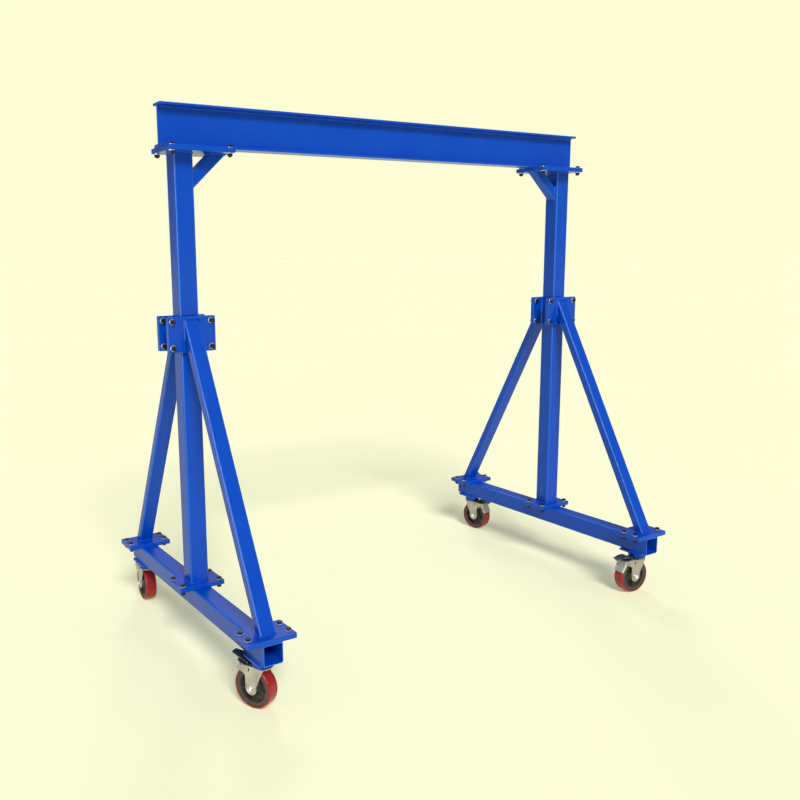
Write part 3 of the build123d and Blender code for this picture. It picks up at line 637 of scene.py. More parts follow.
square = hollow(2 * MAST_HALF, 2 * MAST_HALF, TUBE_WALL, TUBE_BEND)
for side, s in SIDES.items():
    foot, head = (s * MAST_X, MID_Y, FOOT_TOP), (s * MAST_X, MID_Y, MAST_TOP)
    mast = tube(*square, foot, ALONG_X, ALONG_Y, [(foot, UP), (head, UP)])
    painted(f"mast_{side}_tube", mast, f"mast_{side}")
    low, high = box_of(f"base_tube_{side}")
    start = (s * MAST_X, low[1], (low[2] + high[2]) / 2)
    end = (s * MAST_X, high[1], (low[2] + high[2]) / 2)
    base = tube(*square, start, UP, ALONG_X, [(start, ALONG_Y), (end, ALONG_Y)])
    painted(f"base_tube_{side}_tube", base, f"base_tube_{side}")

# %% [markdown]
# ## Struts
# Each mast is held upright by two struts of 80 x 50 tube that lean in from the ends of the base tube.
# Their ends are sawn at an angle: level on the foot plate and upright on the collar plate. Tilting a
# finished tube would leave its ends square to its length, so the two planes cut it where they lie.

# %% Struts
STRUT_WIDTH, STRUT_DEPTH, STRUT_WALL, STRUT_BEND = 80 * MM, 50 * MM, 4 * MM, 8 * MM
STRUT_FOOT_OFFSET, STRUT_HEAD_OFFSET = 16 * MM, 10 * MM
STRUT_FOOT_Y, STRUT_HEAD_Y = STRUT_PLATE_Y + STRUT_FOOT_OFFSET, COLLAR_FACE + STRUT_HEAD_OFFSET
strut_section = hollow(STRUT_WIDTH, STRUT_DEPTH, STRUT_WALL, STRUT_BEND)


def strut_axes(s, e):
    """Foot point on the plate, the section's two axes across the strut, and its direction."""
    foot = np.array([s * MAST_X, MID_Y + e * STRUT_FOOT_Y, FOOT_TOP])
    head = np.array([s * MAST_X, MID_Y + e * STRUT_HEAD_Y, COLLAR_Z])
    along = unit(head - foot)
    return foot, ALONG_X, np.cross(along, ALONG_X), along


for side, s in SIDES.items():
    for end_name, e in ENDS.items():
        foot, x, y, along = strut_axes(s, e)
        face = np.array([s * MAST_X, MID_Y + e * COLLAR_FACE, COLLAR_Z])
        strut = tube(*strut_section, foot, x, y, [(foot, UP), (face, ALONG_Y)])
        painted(f"strut_{end_name}_{side}_tube", strut, f"strut_{end_name}_{side}")

# %% [markdown]
# ## Knee braces
# A short brace of 60 x 60 tube props each top plate off its mast, so that the beam can't rack. Its
# box in the frame gives its width and how far it reaches out and down, and the slope follows.

# %% Knee braces
BRACE_WALL, BRACE_BEND = 4 * MM, 6 * MM
brace_low, brace_high = box_of("knee_brace_right")
BRACE = brace_high[1] - brace_low[1]
brace_section = hollow(BRACE, BRACE, BRACE_WALL, BRACE_BEND)
BRACE_REACH, BRACE_DROP = brace_high[0] - brace_low[0], brace_high[2] - brace_low[2]


def brace_axes(s):
    """A point on the brace's centre line at the top plate, its two cross axes and its direction."""
    slope = math.atan2(BRACE_DROP, BRACE_REACH)
    along = np.array([-s * math.cos(slope), 0, math.sin(slope)])
    edge = np.array([s * (MAST_X - MAST_HALF - BRACE_REACH), MID_Y, MAST_TOP])
    inward = np.array([s * math.sin(slope), 0, math.cos(slope)])
    return edge + inward * BRACE / 2, ALONG_Y, np.cross(along, ALONG_Y), along


for side, s in SIDES.items():
    point, x, y, along = brace_axes(s)
    wall = np.array([s * (MAST_X - MAST_HALF), MID_Y, MAST_TOP])
    brace = tube(*brace_section, point, x, y, [(wall, ALONG_X), (wall, UP)])
    painted(f"knee_brace_{side}_tube", brace, f"knee_brace_{side}")

# %% [markdown]
# ## Bolts, nuts and washers
# Each joint has M16 bolts: a chamfered hexagon head, a zinc washer under head and nut, and two or
# three turns of thread past the nut. A six-sided cylinder has no chamfer, and that curved edge is what
# makes a head look turned, so the hexagon is one surface: at each angle the radius is the distance to
# the nearest flat, cut back by a 30 degree cone at the face. The thread is a surface too, but a
# coarse one, because it comes back 48 times.

# %% Hexagons and threads
FLATS, HEAD, NUT, WASHER, BOLT_R = 24 * MM, 10 * MM, 13 * MM, 3 * MM, 8 * MM
CONE_START, CONE_DROP = 0.475 * FLATS, 1.2 * MM


def hexagon(heights, cones, segments=48):
    """Rings of a hexagonal prism: radius = flat distance / cos(angle from flat), limited by cones."""
    angle = np.arange(segments) * 2 * math.pi / segments
    from_flat = (angle + math.pi / 6) % (math.pi / 3) - math.pi / 6
    radius = np.minimum((FLATS / 2) / np.cos(from_flat)[None], np.asarray(cones)[:, None])
    height = np.broadcast_to(np.asarray(heights)[:, None], radius.shape)
    return np.stack([radius * np.cos(angle), radius * np.sin(angle), height], -1)


def bolt_head():
    """Head from its washer face up: the cone leaves a round land on top."""
    drop = np.linspace(1, 0, 5) * CONE_DROP
    heights = np.concatenate([[0, 0.3 * MM], HEAD - drop])
    cones = np.concatenate([[CONE_START, 1], CONE_START + drop * math.sqrt(3)])
    return loft(hexagon(heights, cones), [0, 0.3, 0.6, 0.8, 1, 1, 0.5])


def hex_nut(height=NUT):
    """Nut with a cone at both faces and a chamfered bore, whose rings are small enough circles."""
    drop = np.linspace(0, 1, 4) * CONE_DROP
    heights = np.concatenate([drop, height - drop[::-1], [height, height - 1 * MM, 1 * MM, 0]])
    cones = CONE_START + np.concatenate([drop, drop[::-1]]) * math.sqrt(3)
    bore = BOLT_R + np.array([1, 0, 0, 1]) * MM
    wear_and_sheen = [1, 0.8, 0.5, 0.2, 0.2, 0.5, 0.8, 1, 0, 0, 0, 0]
    return loft(hexagon(heights, np.concatenate([cones, bore])), wear_and_sheen, ring=True)


def threaded_end(length, segments=24, pitch=2 * MM, depth=0.8 * MM):
    """Thread: radius falls by depth along a triangle wave of height / pitch - angle / full turn."""
    rows = round(length / pitch * 4) + 1
    height = np.linspace(0, length, rows)[:, None]
    angle = np.arange(segments)[None] * 2 * math.pi / segments
    wave = np.abs(((height / pitch - angle / (2 * math.pi)) % 1) * 2 - 1)
    radius = BOLT_R - 0.1 * MM - depth * wave
    radius = np.minimum(radius, BOLT_R - 1.2 * MM + (length - height))
    points = np.stack([radius * np.cos(angle), radius * np.sin(angle),
                       np.broadcast_to(height, radius.shape)], -1)
    return loft(points, np.full(rows, 0.4))


def washer(outer=15 * MM, inner=8.5 * MM, thick=WASHER):
    """Flat ring with rolled rims."""
    e = 0.5 * MM
    profile = [(inner, 0), (outer - e, 0), (outer, e), (outer, thick - e), (outer - e, thick),
               (inner, thick)]
    return turned(profile, 32, [0, 0.5, 1, 1, 0.5, 0])


print("head, nut, washer:", [len(part[0]) for part in (bolt_head(), hex_nut(), washer())], "points")

# %% [markdown]
# ## Where the bolts go
# Four bolts hold each bolted pair of plates, at the corners of a rectangle. Forty-eight bolts could
# be 48 objects, but they are alike and none of them moves, so each kind is stamped into one mesh.
# Every copy is spun by its own angle, as a spanner leaves them.

# %% Put the bolts in place
GRIP = 2 * PLATE + 2 * WASHER
BEAM_BOLTS, MAST_FOOT_BOLTS = (301 * MM, 187 * MM), (204 * MM, 122 * MM)
STRUT_FOOT_BOLTS, COLLAR_BOLTS = (204 * MM, 80 * MM), (204 * MM, 128 * MM)


def corners_of(pitches):
    return [(u * pitches[0] / 2, v * pitches[1] / 2) for u in (-1, 1) for v in (-1, 1)]


def bolt_places():
    """Point under each bolt's washer, and the direction that its head faces."""
    top_middle = middle("beam_plate_right")[0]
    found = []
    for s in (-1, 1):
        found += [((s * top_middle + u, MID_Y + v, BEAM_BOTTOM), UP)
                  for u, v in corners_of(BEAM_BOLTS)]
        found += [((s * MAST_X + u, MID_Y + v, FOOT_TOP), UP)
                  for u, v in corners_of(MAST_FOOT_BOLTS)]
        for e in (-1, 1):
            found += [((s * MAST_X + u, MID_Y + e * STRUT_PLATE_Y + v, FOOT_TOP), UP)
                      for u, v in corners_of(STRUT_FOOT_BOLTS)]
            found += [((s * MAST_X + u, MID_Y + e * COLLAR_FACE, COLLAR_Z + v), e * ALONG_Y)
                      for u, v in corners_of(COLLAR_BOLTS)]
    return found


def stamp(surface, lift, spin):
    """A copy of the surface at every bolt, lifted along it and spun by its own angle."""
    copies = []
    for number, (point, out) in enumerate(bolt_places()):
        across = np.cross(out, ALONG_Y) if abs(out[1]) < 0.5 else ALONG_X
        turn = spin * number
        x = across * math.cos(turn) + np.cross(out, across) * math.sin(turn)
        copies.append(place(surface, np.array(point) + lift * out, x, np.cross(out, x), out))
    return join(copies)


UPSIDE_DOWN = dict(x=(1, 0, 0), y=(0, -1, 0), z=(0, 0, -1))
THREAD_OUT = 4 * MM
heads = stamp(bolt_head(), WASHER, 0.7)
shank = place(threaded_end(GRIP + NUT + THREAD_OUT - WASHER), **UPSIDE_DOWN)
nuts = stamp(hex_nut(), WASHER - GRIP - NUT, 1.3)
washers = [stamp(washer(), 0, 0.9), stamp(washer(), WASHER - GRIP, 0.5)]
make_piece("m16_bolts", join([heads, stamp(shank, 0, 0.4)]), "frame",
           black_oxide, ["frame_bolts"])
make_piece("m16_nuts", nuts, "frame", black_oxide, ["frame_nuts"])
make_piece("m16_washers", join(washers), "frame", zinc, ["frame_washers"])

# %% [markdown]
# ## Weld seams round the tubes
# A bead runs round every tube where it lands on a plate. The line it follows is the tube's own
# outline, carried along the tube until it meets the plate, so the bead fits a mitred end as well as a
# square one. It leaves the plate along the tube's outward normal, laid flat in the plate.

# %% Beads round tube ends


def bead_round(outline, origin, x, y, plane, away, size=5 * MM):
    """Closed bead where a section meets a plane: first direction lies in the plane, second is away."""
    axis = np.cross(x, y)
    base = np.asarray(origin) + outline[:, :1] * x + outline[:, 1:] * y
    point, normal = np.asarray(plane[0], float), np.asarray(plane[1], float)
    ring = base + ((point - base) @ normal / (axis @ normal))[:, None] * axis
    normals = outward(outline)
    first = normals[:, :1] * x + normals[:, 1:] * y
    first = unit(first - (first @ normal)[:, None] * normal)
    return weld(ring, first, np.asarray(away, float), size, closed=True)


def side_frame_beads(s):
    """Beads of one side frame: mast ends, struts, knee brace."""
    foot, head = (s * MAST_X, MID_Y, FOOT_TOP), (s * MAST_X, MID_Y, MAST_TOP)
    beads = [bead_round(square[0], foot, ALONG_X, ALONG_Y, (foot, UP), UP),
             bead_round(square[0], head, ALONG_X, ALONG_Y, (head, UP), DOWN)]
    for e in (-1, 1):
        start, x, y, along = strut_axes(s, e)
        face = np.array([s * MAST_X, MID_Y + e * COLLAR_FACE, COLLAR_Z])
        out = e * ALONG_Y
        beads.append(bead_round(strut_section[0], start, x, y, (start, UP), along))
        beads.append(bead_round(strut_section[0], start, x, y, (face, out), out))
    point, x, y, along = brace_axes(s)
    wall = np.array([s * (MAST_X - MAST_HALF), MID_Y, MAST_TOP])
    beads.append(bead_round(brace_section[0], point, x, y, (wall, UP), DOWN))
    beads.append(bead_round(brace_section[0], point, x, y, (wall, ALONG_X), (-s, 0, 0)))
    return beads


print("a side frame has", len(side_frame_beads(1)), "beads round its tubes")

# %% [markdown]
# ## Straight seams
# Straight beads run along the beam's flanges, along the base tubes under their plates, and up the
# masts behind the collar plates. Where a tube's bent edge leaves a groove beside a plate, the bead is
# larger and starts a little inside the tube's side, because it has to fill that groove. All seams of
# one side frame are one piece, painted with the frame.

# %% Straight beads
GROOVE, GROOVE_BEAD, COLLAR_BEAD_HALF = 4 * MM, 8 * MM, 40 * MM


def plate_beads(s):
    """Beam to plates, plates to base tubes, collars to masts, for one side frame."""
    beads = []
    low, high = box_of("beam_plate_right")
    half_flange = (beam_high[1] - beam_low[1]) / 2
    half_foot = foot_size[1] / 2
    for v in (-1, 1):
        y = MID_Y + v * half_flange
        beads.append(weld([(s * low[0], y, BEAM_BOTTOM), (s * high[0], y, BEAM_BOTTOM)],
                          v * ALONG_Y, UP))
        x = s * MAST_X + v * (MAST_HALF - GROOVE)
        for centre in (MID_Y, MID_Y - STRUT_PLATE_Y, MID_Y + STRUT_PLATE_Y):
            beads.append(weld([(x, centre - half_foot, BASE_TOP), (x, centre + half_foot, BASE_TOP)],
                              v * ALONG_X, DOWN, GROOVE_BEAD))
        for e in (-1, 1):
            y = MID_Y + e * MAST_HALF
            beads.append(weld([(x, y, collar_low[2]), (x, y, collar_high[2])],
                              v * ALONG_X, -e * ALONG_Y, GROOVE_BEAD))
            for z, away in ((collar_low[2], DOWN), (collar_high[2], UP)):
                beads.append(weld([(s * MAST_X - COLLAR_BEAD_HALF, y, z),
                                   (s * MAST_X + COLLAR_BEAD_HALF, y, z)], e * ALONG_Y, away))
    return beads


for side, s in SIDES.items():
    painted(f"weld_beads_{side}", join(side_frame_beads(s) + plate_beads(s)))

# %% [markdown]
# ## Caster places
# Each caster has its own axes: `t` points from the swivel axis to the trailing wheel, `n` is the
# wheel's axle direction, and up is up. The four casters stand at different angles. Modelling each in
# place would mean four of everything; instead every caster piece is made once in these axes and
# carried to the four corners.

# %% Caster axes
CASTERS = ("front_left", "back_left", "back_right", "front_right")


def caster_axes(name):
    """Floor point under the swivel axis, axle centre, brake pivot, and the directions t and n."""
    swivel, axle, pivot = [np.array(joints[f"{kind}_{name}"]["pos_m"])
                           for kind in ("swivel", "roll", "brake")]
    n = unit(joints[f"roll_{name}"]["axis"])
    return np.array([swivel[0], swivel[1], 0]), axle, pivot, np.cross(n, UP), n


def brake_lift(name):
    """How far the pedal is lifted at rest: its whole travel if the joint can only turn down."""
    return math.radians(joints[f"brake_{name}"]["range_deg"][1])


print({name: round(math.degrees(brake_lift(name))) for name in CASTERS})

# %% [markdown]
# ## Caster top plates and race cups
# The swivel head hangs from a welded plate. A short cup under it holds the ring of balls; its lip is
# rolled, and a bead joins it to the plate. The cup is turned, because it is round and its lip is too
# fine for a bevel. None of this swivels, so it belongs to the frame.

# %% Top plates, cups and their beads
CUP_OUTER, CUP_INNER = 50 * MM, 45 * MM
cup_low, cup_high = box_of("race_cups")[0][2], box_of("race_cups")[1][2]
CASTER_PLATE = (124 * MM, 160 * MM)


def race_cup():
    """Ring from the lip up to the plate; the lip's rim is a half circle."""
    bend = np.linspace(math.pi, 2 * math.pi, 9)
    middle_r, lip = (CUP_OUTER + CUP_INNER) / 2, (CUP_OUTER - CUP_INNER) / 2
    rim = np.stack([middle_r + lip * np.cos(bend), cup_low + lip + lip * np.sin(bend)], 1)
    profile = np.concatenate([rim, [(CUP_OUTER, cup_high), (CUP_INNER, cup_high)]])
    return turned(profile, 64, [0, 0, 0.4, 0.8, 1, 0.8, 0.4, 0, 0, 0, 0])


angle = np.arange(64) * 2 * math.pi / 64
cup_out = np.stack([np.cos(angle), np.sin(angle), 0 * angle], 1)
cup_bead = weld(cup_out * CUP_OUTER + UP * cup_high, cup_out, DOWN, 4 * MM, closed=True)
plates, cups, beads = [], [], []
for name in CASTERS:
    swivel = caster_axes(name)[0]
    plates.append(place(slab(rectangle(*CASTER_PLATE, CORNER), PLATE),
                        swivel + UP * (BASE_BOTTOM - PLATE)))
    cups.append(place(race_cup(), swivel))
    beads.append(place(cup_bead, swivel))
    for v in (-1, 1):
        x = swivel[0] + v * (MAST_HALF - GROOVE)
        beads.append(weld([(x, swivel[1] - CASTER_PLATE[1] / 2, BASE_BOTTOM),
                           (x, swivel[1] + CASTER_PLATE[1] / 2, BASE_BOTTOM)],
                          v * ALONG_X, UP, GROOVE_BEAD))
painted("caster_plates_cut", join(plates), "caster_top_plates")
painted("race_cups_turned", join(cups), "race_cups")
painted("weld_beads_casters", join(beads))

# %% [markdown]
# ## Bent sheet
# Forks, brake shoes and pedals are pressed from sheet. A Solidify modifier could give them their
# thickness, but it guesses the direction at sharp bends, and here the true normal is known. So such a
# part is a grid of points on its outer face plus the normal at each: the inner face is the same grid
# moved in by the sheet's thickness, and four strips close the cut edges. A bevel then breaks those.

# %% Sheet from a grid


def sheet(outer, normals, thickness):
    """Closed sheet: an outer grid rows x columns x 3, its inner copy and the strips between them."""
    rows, columns = outer.shape[:2]
    inner = outer - normals * thickness
    index = np.arange(rows * columns).reshape(rows, columns)
    quad = np.stack([index[:-1, :-1], index[:-1, 1:], index[1:, 1:], index[1:, :-1]], -1)
    quad = quad.reshape(-1, 4)
    rim = np.concatenate([index[0, :-1], index[:-1, -1], index[-1, :0:-1], index[:0:-1, 0]])
    after = np.roll(rim, -1)
    shift = rows * columns
    strips = np.stack([rim, after, after + shift, rim + shift], -1)
    wear_and_sheen = np.zeros((rows, columns))
    wear_and_sheen[[0, -1]] = 1
    wear_and_sheen[:, [0, -1]] = 1
    points = np.concatenate([outer.reshape(-1, 3), inner.reshape(-1, 3)])
    return points, [quad, quad[:, ::-1] + shift, strips], np.tile(wear_and_sheen.ravel(), 2)


def bevel(piece, width, angle=50):
    """Rounds a piece's cut edges, ahead of the normals modifier."""
    rounding = piece.modifiers.new("cut_edges", "BEVEL")
    rounding.width, rounding.segments = width, 2
    rounding.limit_method, rounding.angle_limit = "ANGLE", math.radians(angle)
    piece.modifiers.move(len(piece.modifiers) - 1, 0)


patch = np.array([[(0, 0, 0), (1, 0, 0)], [(0, 1, 0), (1, 1, 0)]], float)
print("a sheet of one square has", sum(len(group) for group in sheet(patch, UP, 0.1)[1]), "faces")

# %% [markdown]
# ## Fork
# The fork is one pressing: a crown that bends down into two cheeks. Each cheek has a leg that ends in
# a half circle round the axle and an arm that reaches back to carry the brake. Across the piece, a
# station runs up one cheek, round the bend, over the crown and down the other; at each station the
# metal goes from a front limit to a back limit, both worked out from height and width.

# %% Fork
FORK_HALF, FORK_SHEET, FORK_TOP, FORK_BEND = 42.5 * MM, 5 * MM, 208 * MM, 5.6 * MM
LEG_R, ARM_REACH, CROWN_R, CROWN_BACK, BOSS_R = 30 * MM, 131 * MM, 45 * MM, 55 * MM, 36.4 * MM
CROWN_FRONT = -30 * MM
swivel, axle = caster_axes("front_left")[:2]
TRAIL, AXLE_Z = round(float(np.hypot(*(axle - swivel)[:2])), 4), axle[2]


def cheek_limits(z):
    """Front and back edge of a cheek at height z: circle at the axle, then straight edges."""
    chord = np.sqrt(np.clip(LEG_R ** 2 - (z - AXLE_Z) ** 2, 1e-8, None))
    front_line = np.interp(z, [AXLE_Z + 12 * MM, FORK_TOP], [TRAIL - 28.5 * MM, CROWN_FRONT])
    front = np.where(z < AXLE_Z + 12 * MM, TRAIL - chord, front_line)
    height = [AXLE_Z] + [FORK_TOP - below * MM for below in (44, 27, 18, 6, 0)]
    reach = [72 * MM, 73 * MM, 109 * MM, ARM_REACH, ARM_REACH, 109 * MM]
    back = np.where(z < AXLE_Z, TRAIL + chord, np.interp(z, height, reach))
    kernel = np.array([1, 2, 3, 2, 1]) / 9
    smooth = np.convolve(np.pad(back, 2, mode="edge"), kernel, "valid")
    return front, np.where(z < AXLE_Z + 20 * MM, back, smooth)


def fork_sheet():
    """Cross-section stations by columns from front edge to back edge."""
    z = np.concatenate([AXLE_Z - LEG_R * np.cos(np.linspace(0.12, math.pi / 2, 9)),
                        np.arange(AXLE_Z + 3 * MM, FORK_TOP - FORK_BEND, 3 * MM)])
    front, back = cheek_limits(z)
    bend = np.linspace(0, math.pi / 2, 8)
    bend_z = FORK_TOP - FORK_BEND + FORK_BEND * np.sin(bend)
    bend_n = FORK_HALF - FORK_BEND + FORK_BEND * np.cos(bend)
    ease = (bend / (math.pi / 2)) ** 1.5
    bend_front = -np.sqrt(np.clip(CROWN_R ** 2 - bend_n ** 2, 0, None))
    bend_front = np.minimum(bend_front, CROWN_FRONT)
    bend_back = back[-1] + (CROWN_BACK + 3 * MM - back[-1]) * ease
    flat_n = np.linspace(FORK_HALF - FORK_BEND, 0, 7)[1:]
    flat_front = -np.sqrt(CROWN_R ** 2 - flat_n ** 2)
    flat_back = CROWN_BACK + 3 * MM * (flat_n / (FORK_HALF - FORK_BEND)) ** 4
    side_n = np.concatenate([np.full(len(z), FORK_HALF), bend_n, flat_n])
    side_z = np.concatenate([z, bend_z, np.full(len(flat_n), FORK_TOP)])
    lean = np.concatenate([np.zeros(len(z)), bend, np.full(len(flat_n), math.pi / 2)])
    side_front = np.concatenate([front, bend_front, flat_front])
    side_back = np.concatenate([back, bend_back, flat_back])

    def whole(half, sign):
        return np.concatenate([half, sign * half[-2::-1]])

    n, height = whole(side_n, -1), whole(side_z, 1)
    normal = np.stack([0 * n, whole(np.cos(lean), -1), whole(np.sin(lean), 1)], -1)
    share = np.linspace(0, 1, 15)[None]
    t = whole(side_front, 1)[:, None] * (1 - share) + whole(side_back, 1)[:, None] * share
    wide, tall = [np.broadcast_to(line[:, None], t.shape) for line in (n, height)]
    outer = np.stack([t, wide, tall], -1)
    return sheet(outer, np.broadcast_to(normal[:, None], outer.shape), FORK_SHEET)


def fork_boss():
    """Inner race on the crown: a ring with a ball groove round its wall."""
    swing = np.linspace(-0.9, 0.9, 7)
    groove = np.stack([BOSS_R + 2 * MM - 4 * MM * np.cos(swing),
                       FORK_TOP + 10 * MM + 4 * MM * np.sin(swing)], 1)
    groove[:, 0] = np.minimum(groove[:, 0], BOSS_R)
    profile = np.concatenate([[(8.05 * MM, FORK_TOP - FORK_SHEET),
                               (BOSS_R - 1 * MM, FORK_TOP - 1 * MM), (BOSS_R, FORK_TOP)], groove,
                              [(BOSS_R, FORK_TOP + 19 * MM), (BOSS_R - 1 * MM, FORK_TOP + 20 * MM),
                               (8.05 * MM, FORK_TOP + 20 * MM)]])
    return turned(profile, 48)


print("fork sheet", len(fork_sheet()[0]), "points, trail", TRAIL)

# %% [markdown]
# ## The fork's slots
# Each cheek has a short slanting slot behind the swivel axis. Bending the grid round a slot would
# twist all its rows, so the slot is punched out as the factory does it: a prism is taken away from the
# sheet by a boolean, once, and the cut sheet is read back as arrays and set on all four casters.

# %% Cut the slot and set the forks
SLOT_HALF, SLOT_R, SLOT_LEAN = 5.5 * MM, 4 * MM, math.radians(15)
SLOT_T, SLOT_Z = 52 * MM, 191 * MM
SAME_POINT = 1e-5


def as_mesh(surface):
    """A bare mesh object of a surface, for cutting."""
    points, faces, _ = surface
    mesh = bpy.data.meshes.new("blank")
    mesh.from_pydata(points.tolist(), [], [face for group in faces for face in group.tolist()])
    point_outwards(mesh)
    blank = bpy.data.objects.new("blank", mesh)
    bpy.context.scene.collection.objects.link(blank)
    return blank


def cut_out(surface, cutter):
    """The surface with the cutter's volume removed, as arrays again. Its rims count as scuffed edges.
    """
    body, tool = as_mesh(surface), as_mesh(cutter)
    cutting = body.modifiers.new("cut", "BOOLEAN")
    cutting.operation, cutting.object, cutting.solver = "DIFFERENCE", tool, "EXACT"
    done = body.evaluated_get(bpy.context.evaluated_depsgraph_get()).to_mesh()
    points = np.zeros(len(done.vertices) * 3)
    done.vertices.foreach_get("co", points)
    points = points.reshape(-1, 3)
    faces = [np.array([list(polygon.vertices)]) for polygon in done.polygons]
    gap = np.abs(points[:, None] - surface[0][None]).sum(-1)
    wear_and_sheen = np.where(gap.min(1) < SAME_POINT, surface[2][gap.argmin(1)], 1.0)
    for blank in (body, tool):
        bpy.data.objects.remove(blank)
    return points, faces, wear_and_sheen


def slot_cutter():
    """Stadium prism through both cheeks, leaning back: two half circles joined by straight sides."""
    bend = np.linspace(0, math.pi, 9)
    top = np.stack([SLOT_R * np.cos(bend), SLOT_HALF + SLOT_R * np.sin(bend)], 1)
    cos, sin = math.cos(SLOT_LEAN), math.sin(SLOT_LEAN)
    blank = slab(np.concatenate([top, -top]), 4 * FORK_HALF, edge=0.1 * MM)
    return place(blank, (SLOT_T, 2 * FORK_HALF, SLOT_Z), (cos, 0, sin), (-sin, 0, cos), (0, -1, 0))


fork_blank = join([cut_out(fork_sheet(), slot_cutter()), fork_boss()])
for name in CASTERS:
    swivel, _, _, t, n = caster_axes(name)
    piece = make_piece(f"fork_{name}_pressed", place(fork_blank, swivel, t, n, UP),
                       f"swivel_{name}", fork_zinc, [f"fork_{name}"])
    bevel(piece, 0.9 * MM)

# %% [markdown]
# ## Axle
# A bolt holds the wheel between the cheeks: head on one side, nut and a little thread on the other.
# The spacer sleeve takes the clamping force, so the bearings stay free. The frame's bolt head, nut and
# thread serve again here, turned to lie along the axle. The brake hangs on a riveted pin, whose domed
# heads are turned.

# %% Axle bolts and brake pins


def axle_parts():
    """Head, shank thread, nut and sleeve in wheel axes, the axle along z."""
    head = place(bolt_head(), (0, 0, -FORK_HALF), **UPSIDE_DOWN)
    nut = place(hex_nut(), (0, 0, FORK_HALF))
    thread = place(threaded_end(NUT + THREAD_OUT), (0, 0, FORK_HALF - 1 * MM))
    gap = FORK_HALF - FORK_SHEET
    sleeve = turned([(8.1 * MM, -gap), (12 * MM, -gap), (12 * MM, gap), (8.1 * MM, gap)], 32)
    return join([head, nut, thread, sleeve])


def pin_heads():
    """Two domed rivet heads and the pin between them, along z: radius = head x cosine of a dome."""
    dome = np.linspace(0.02, math.pi / 2, 7)
    out = np.stack([7 * MM * np.sin(dome), FORK_HALF + 3 * MM * np.cos(dome)], 1)
    profile = np.concatenate([out, [(4 * MM, FORK_HALF)], [(4 * MM, -FORK_HALF)], out[::-1] * [1, -1]])
    return turned(profile, 24, ring=False)


for name in CASTERS:
    _, axle, pivot, t, n = caster_axes(name)
    make_piece(f"axle_{name}_bolt", place(axle_parts(), axle, t, DOWN, n), f"swivel_{name}",
               zinc, [f"axle_{name}"])
    make_piece(f"brake_pin_{name}_rivet", place(pin_heads(), pivot, t, DOWN, n), f"swivel_{name}",
               fork_zinc, [f"brake_pin_{name}"])

# %% [markdown]
# ## Wheel core
# The iron centre is a casting, so nothing on it is sharp: hub, web and rim flow into each other, and
# five ribs stiffen each side. Joining separate ribs to a disc would leave hard seams. Instead half its
# thickness is a function of radius and angle: a hub and a rim step joined to the rib ridge by a soft
# maximum, which leaves a fillet wherever two of them meet. Rows lie closer where the steps are.

# %% Wheel core
HUB_R, RIM_R, CORE_R, BORE_R = 31 * MM, 70 * MM, 91 * MM, 20 * MM
HUB_HALF, WEB_HALF, RIM_HALF, RIB_HALF = 36 * MM, 5 * MM, 30.5 * MM, 24 * MM
RIBS, RIB_SPREAD = 5, 4.6 * MM


def step(x, start, end):
    """0 before start, 1 after end, a smooth cubic between."""
    share = np.clip((x - start) / (end - start), 0, 1)
    return share * share * (3 - 2 * share)


def core_half(radius, angle):
    """Half thickness of the casting at a radius and an angle."""
    hub = HUB_HALF - (HUB_HALF - WEB_HALF) * step(radius, HUB_R - 3 * MM, HUB_R + 5 * MM)
    rim = (RIM_HALF - WEB_HALF) * step(radius, RIM_R - 4 * MM, RIM_R + 2 * MM)
    plain = hub + rim - 1.2 * MM * step(radius, CORE_R - 2 * MM, CORE_R) \
        - 1.5 * MM * step(-radius, -BORE_R - 1.5 * MM, -BORE_R)
    turn = 2 * math.pi / RIBS
    off = ((angle - math.pi / 2 + turn / 2) % turn - turn / 2) * radius
    ridge = RIB_HALF * np.exp(-(np.abs(off) / RIB_SPREAD) ** 4)
    ridge = ridge * step(radius, BORE_R, HUB_R) * (1 - step(radius, RIM_R, RIM_R + 3 * MM))
    return (plain ** 6 + ridge ** 6) ** (1 / 6)


def wheel_core():
    """Near and far face, each a grid of radius and angle, closed into a ring at bore and rim."""
    spans = [(BORE_R, HUB_R - 4 * MM, 5), (HUB_R - 3 * MM, HUB_R + 6 * MM, 9),
             (HUB_R + 9 * MM, RIM_R - 7 * MM, 7), (RIM_R - 5 * MM, RIM_R + 3 * MM, 9),
             (RIM_R + 6 * MM, CORE_R, 5)]
    radius = np.concatenate([np.linspace(*span) for span in spans])
    angle = np.arange(200) * 2 * math.pi / 200
    half = core_half(radius[:, None], angle[None])
    flat = np.stack([radius[:, None] * np.cos(angle), radius[:, None] * np.sin(angle)], -1)
    near = np.concatenate([flat, half[..., None]], -1)
    far = np.concatenate([flat, -half[..., None]], -1)[::-1]
    wear_and_sheen = np.clip((half.mean(1) - 22 * MM) / (8 * MM), 0, 1) * 0.3
    return loft(np.concatenate([near, far]), np.concatenate([wear_and_sheen, wear_and_sheen[::-1]]), ring=True)


print("wheel core", len(wheel_core()[0]), "points; half thickness at hub and at web",
      core_half(np.array([25, 50]) * MM, 0.3).round(4))

# %% [markdown]
# ## Tread
# The tyre is cast polyurethane round the core: a slightly crowned face and rounded shoulders. A torus
# would be round everywhere and a cylinder nowhere, so it is one profile turned round the axle.

# %% Tread
TYRE_R, TYRE_HALF, SHOULDER = 100 * MM, 32.5 * MM, 7 * MM


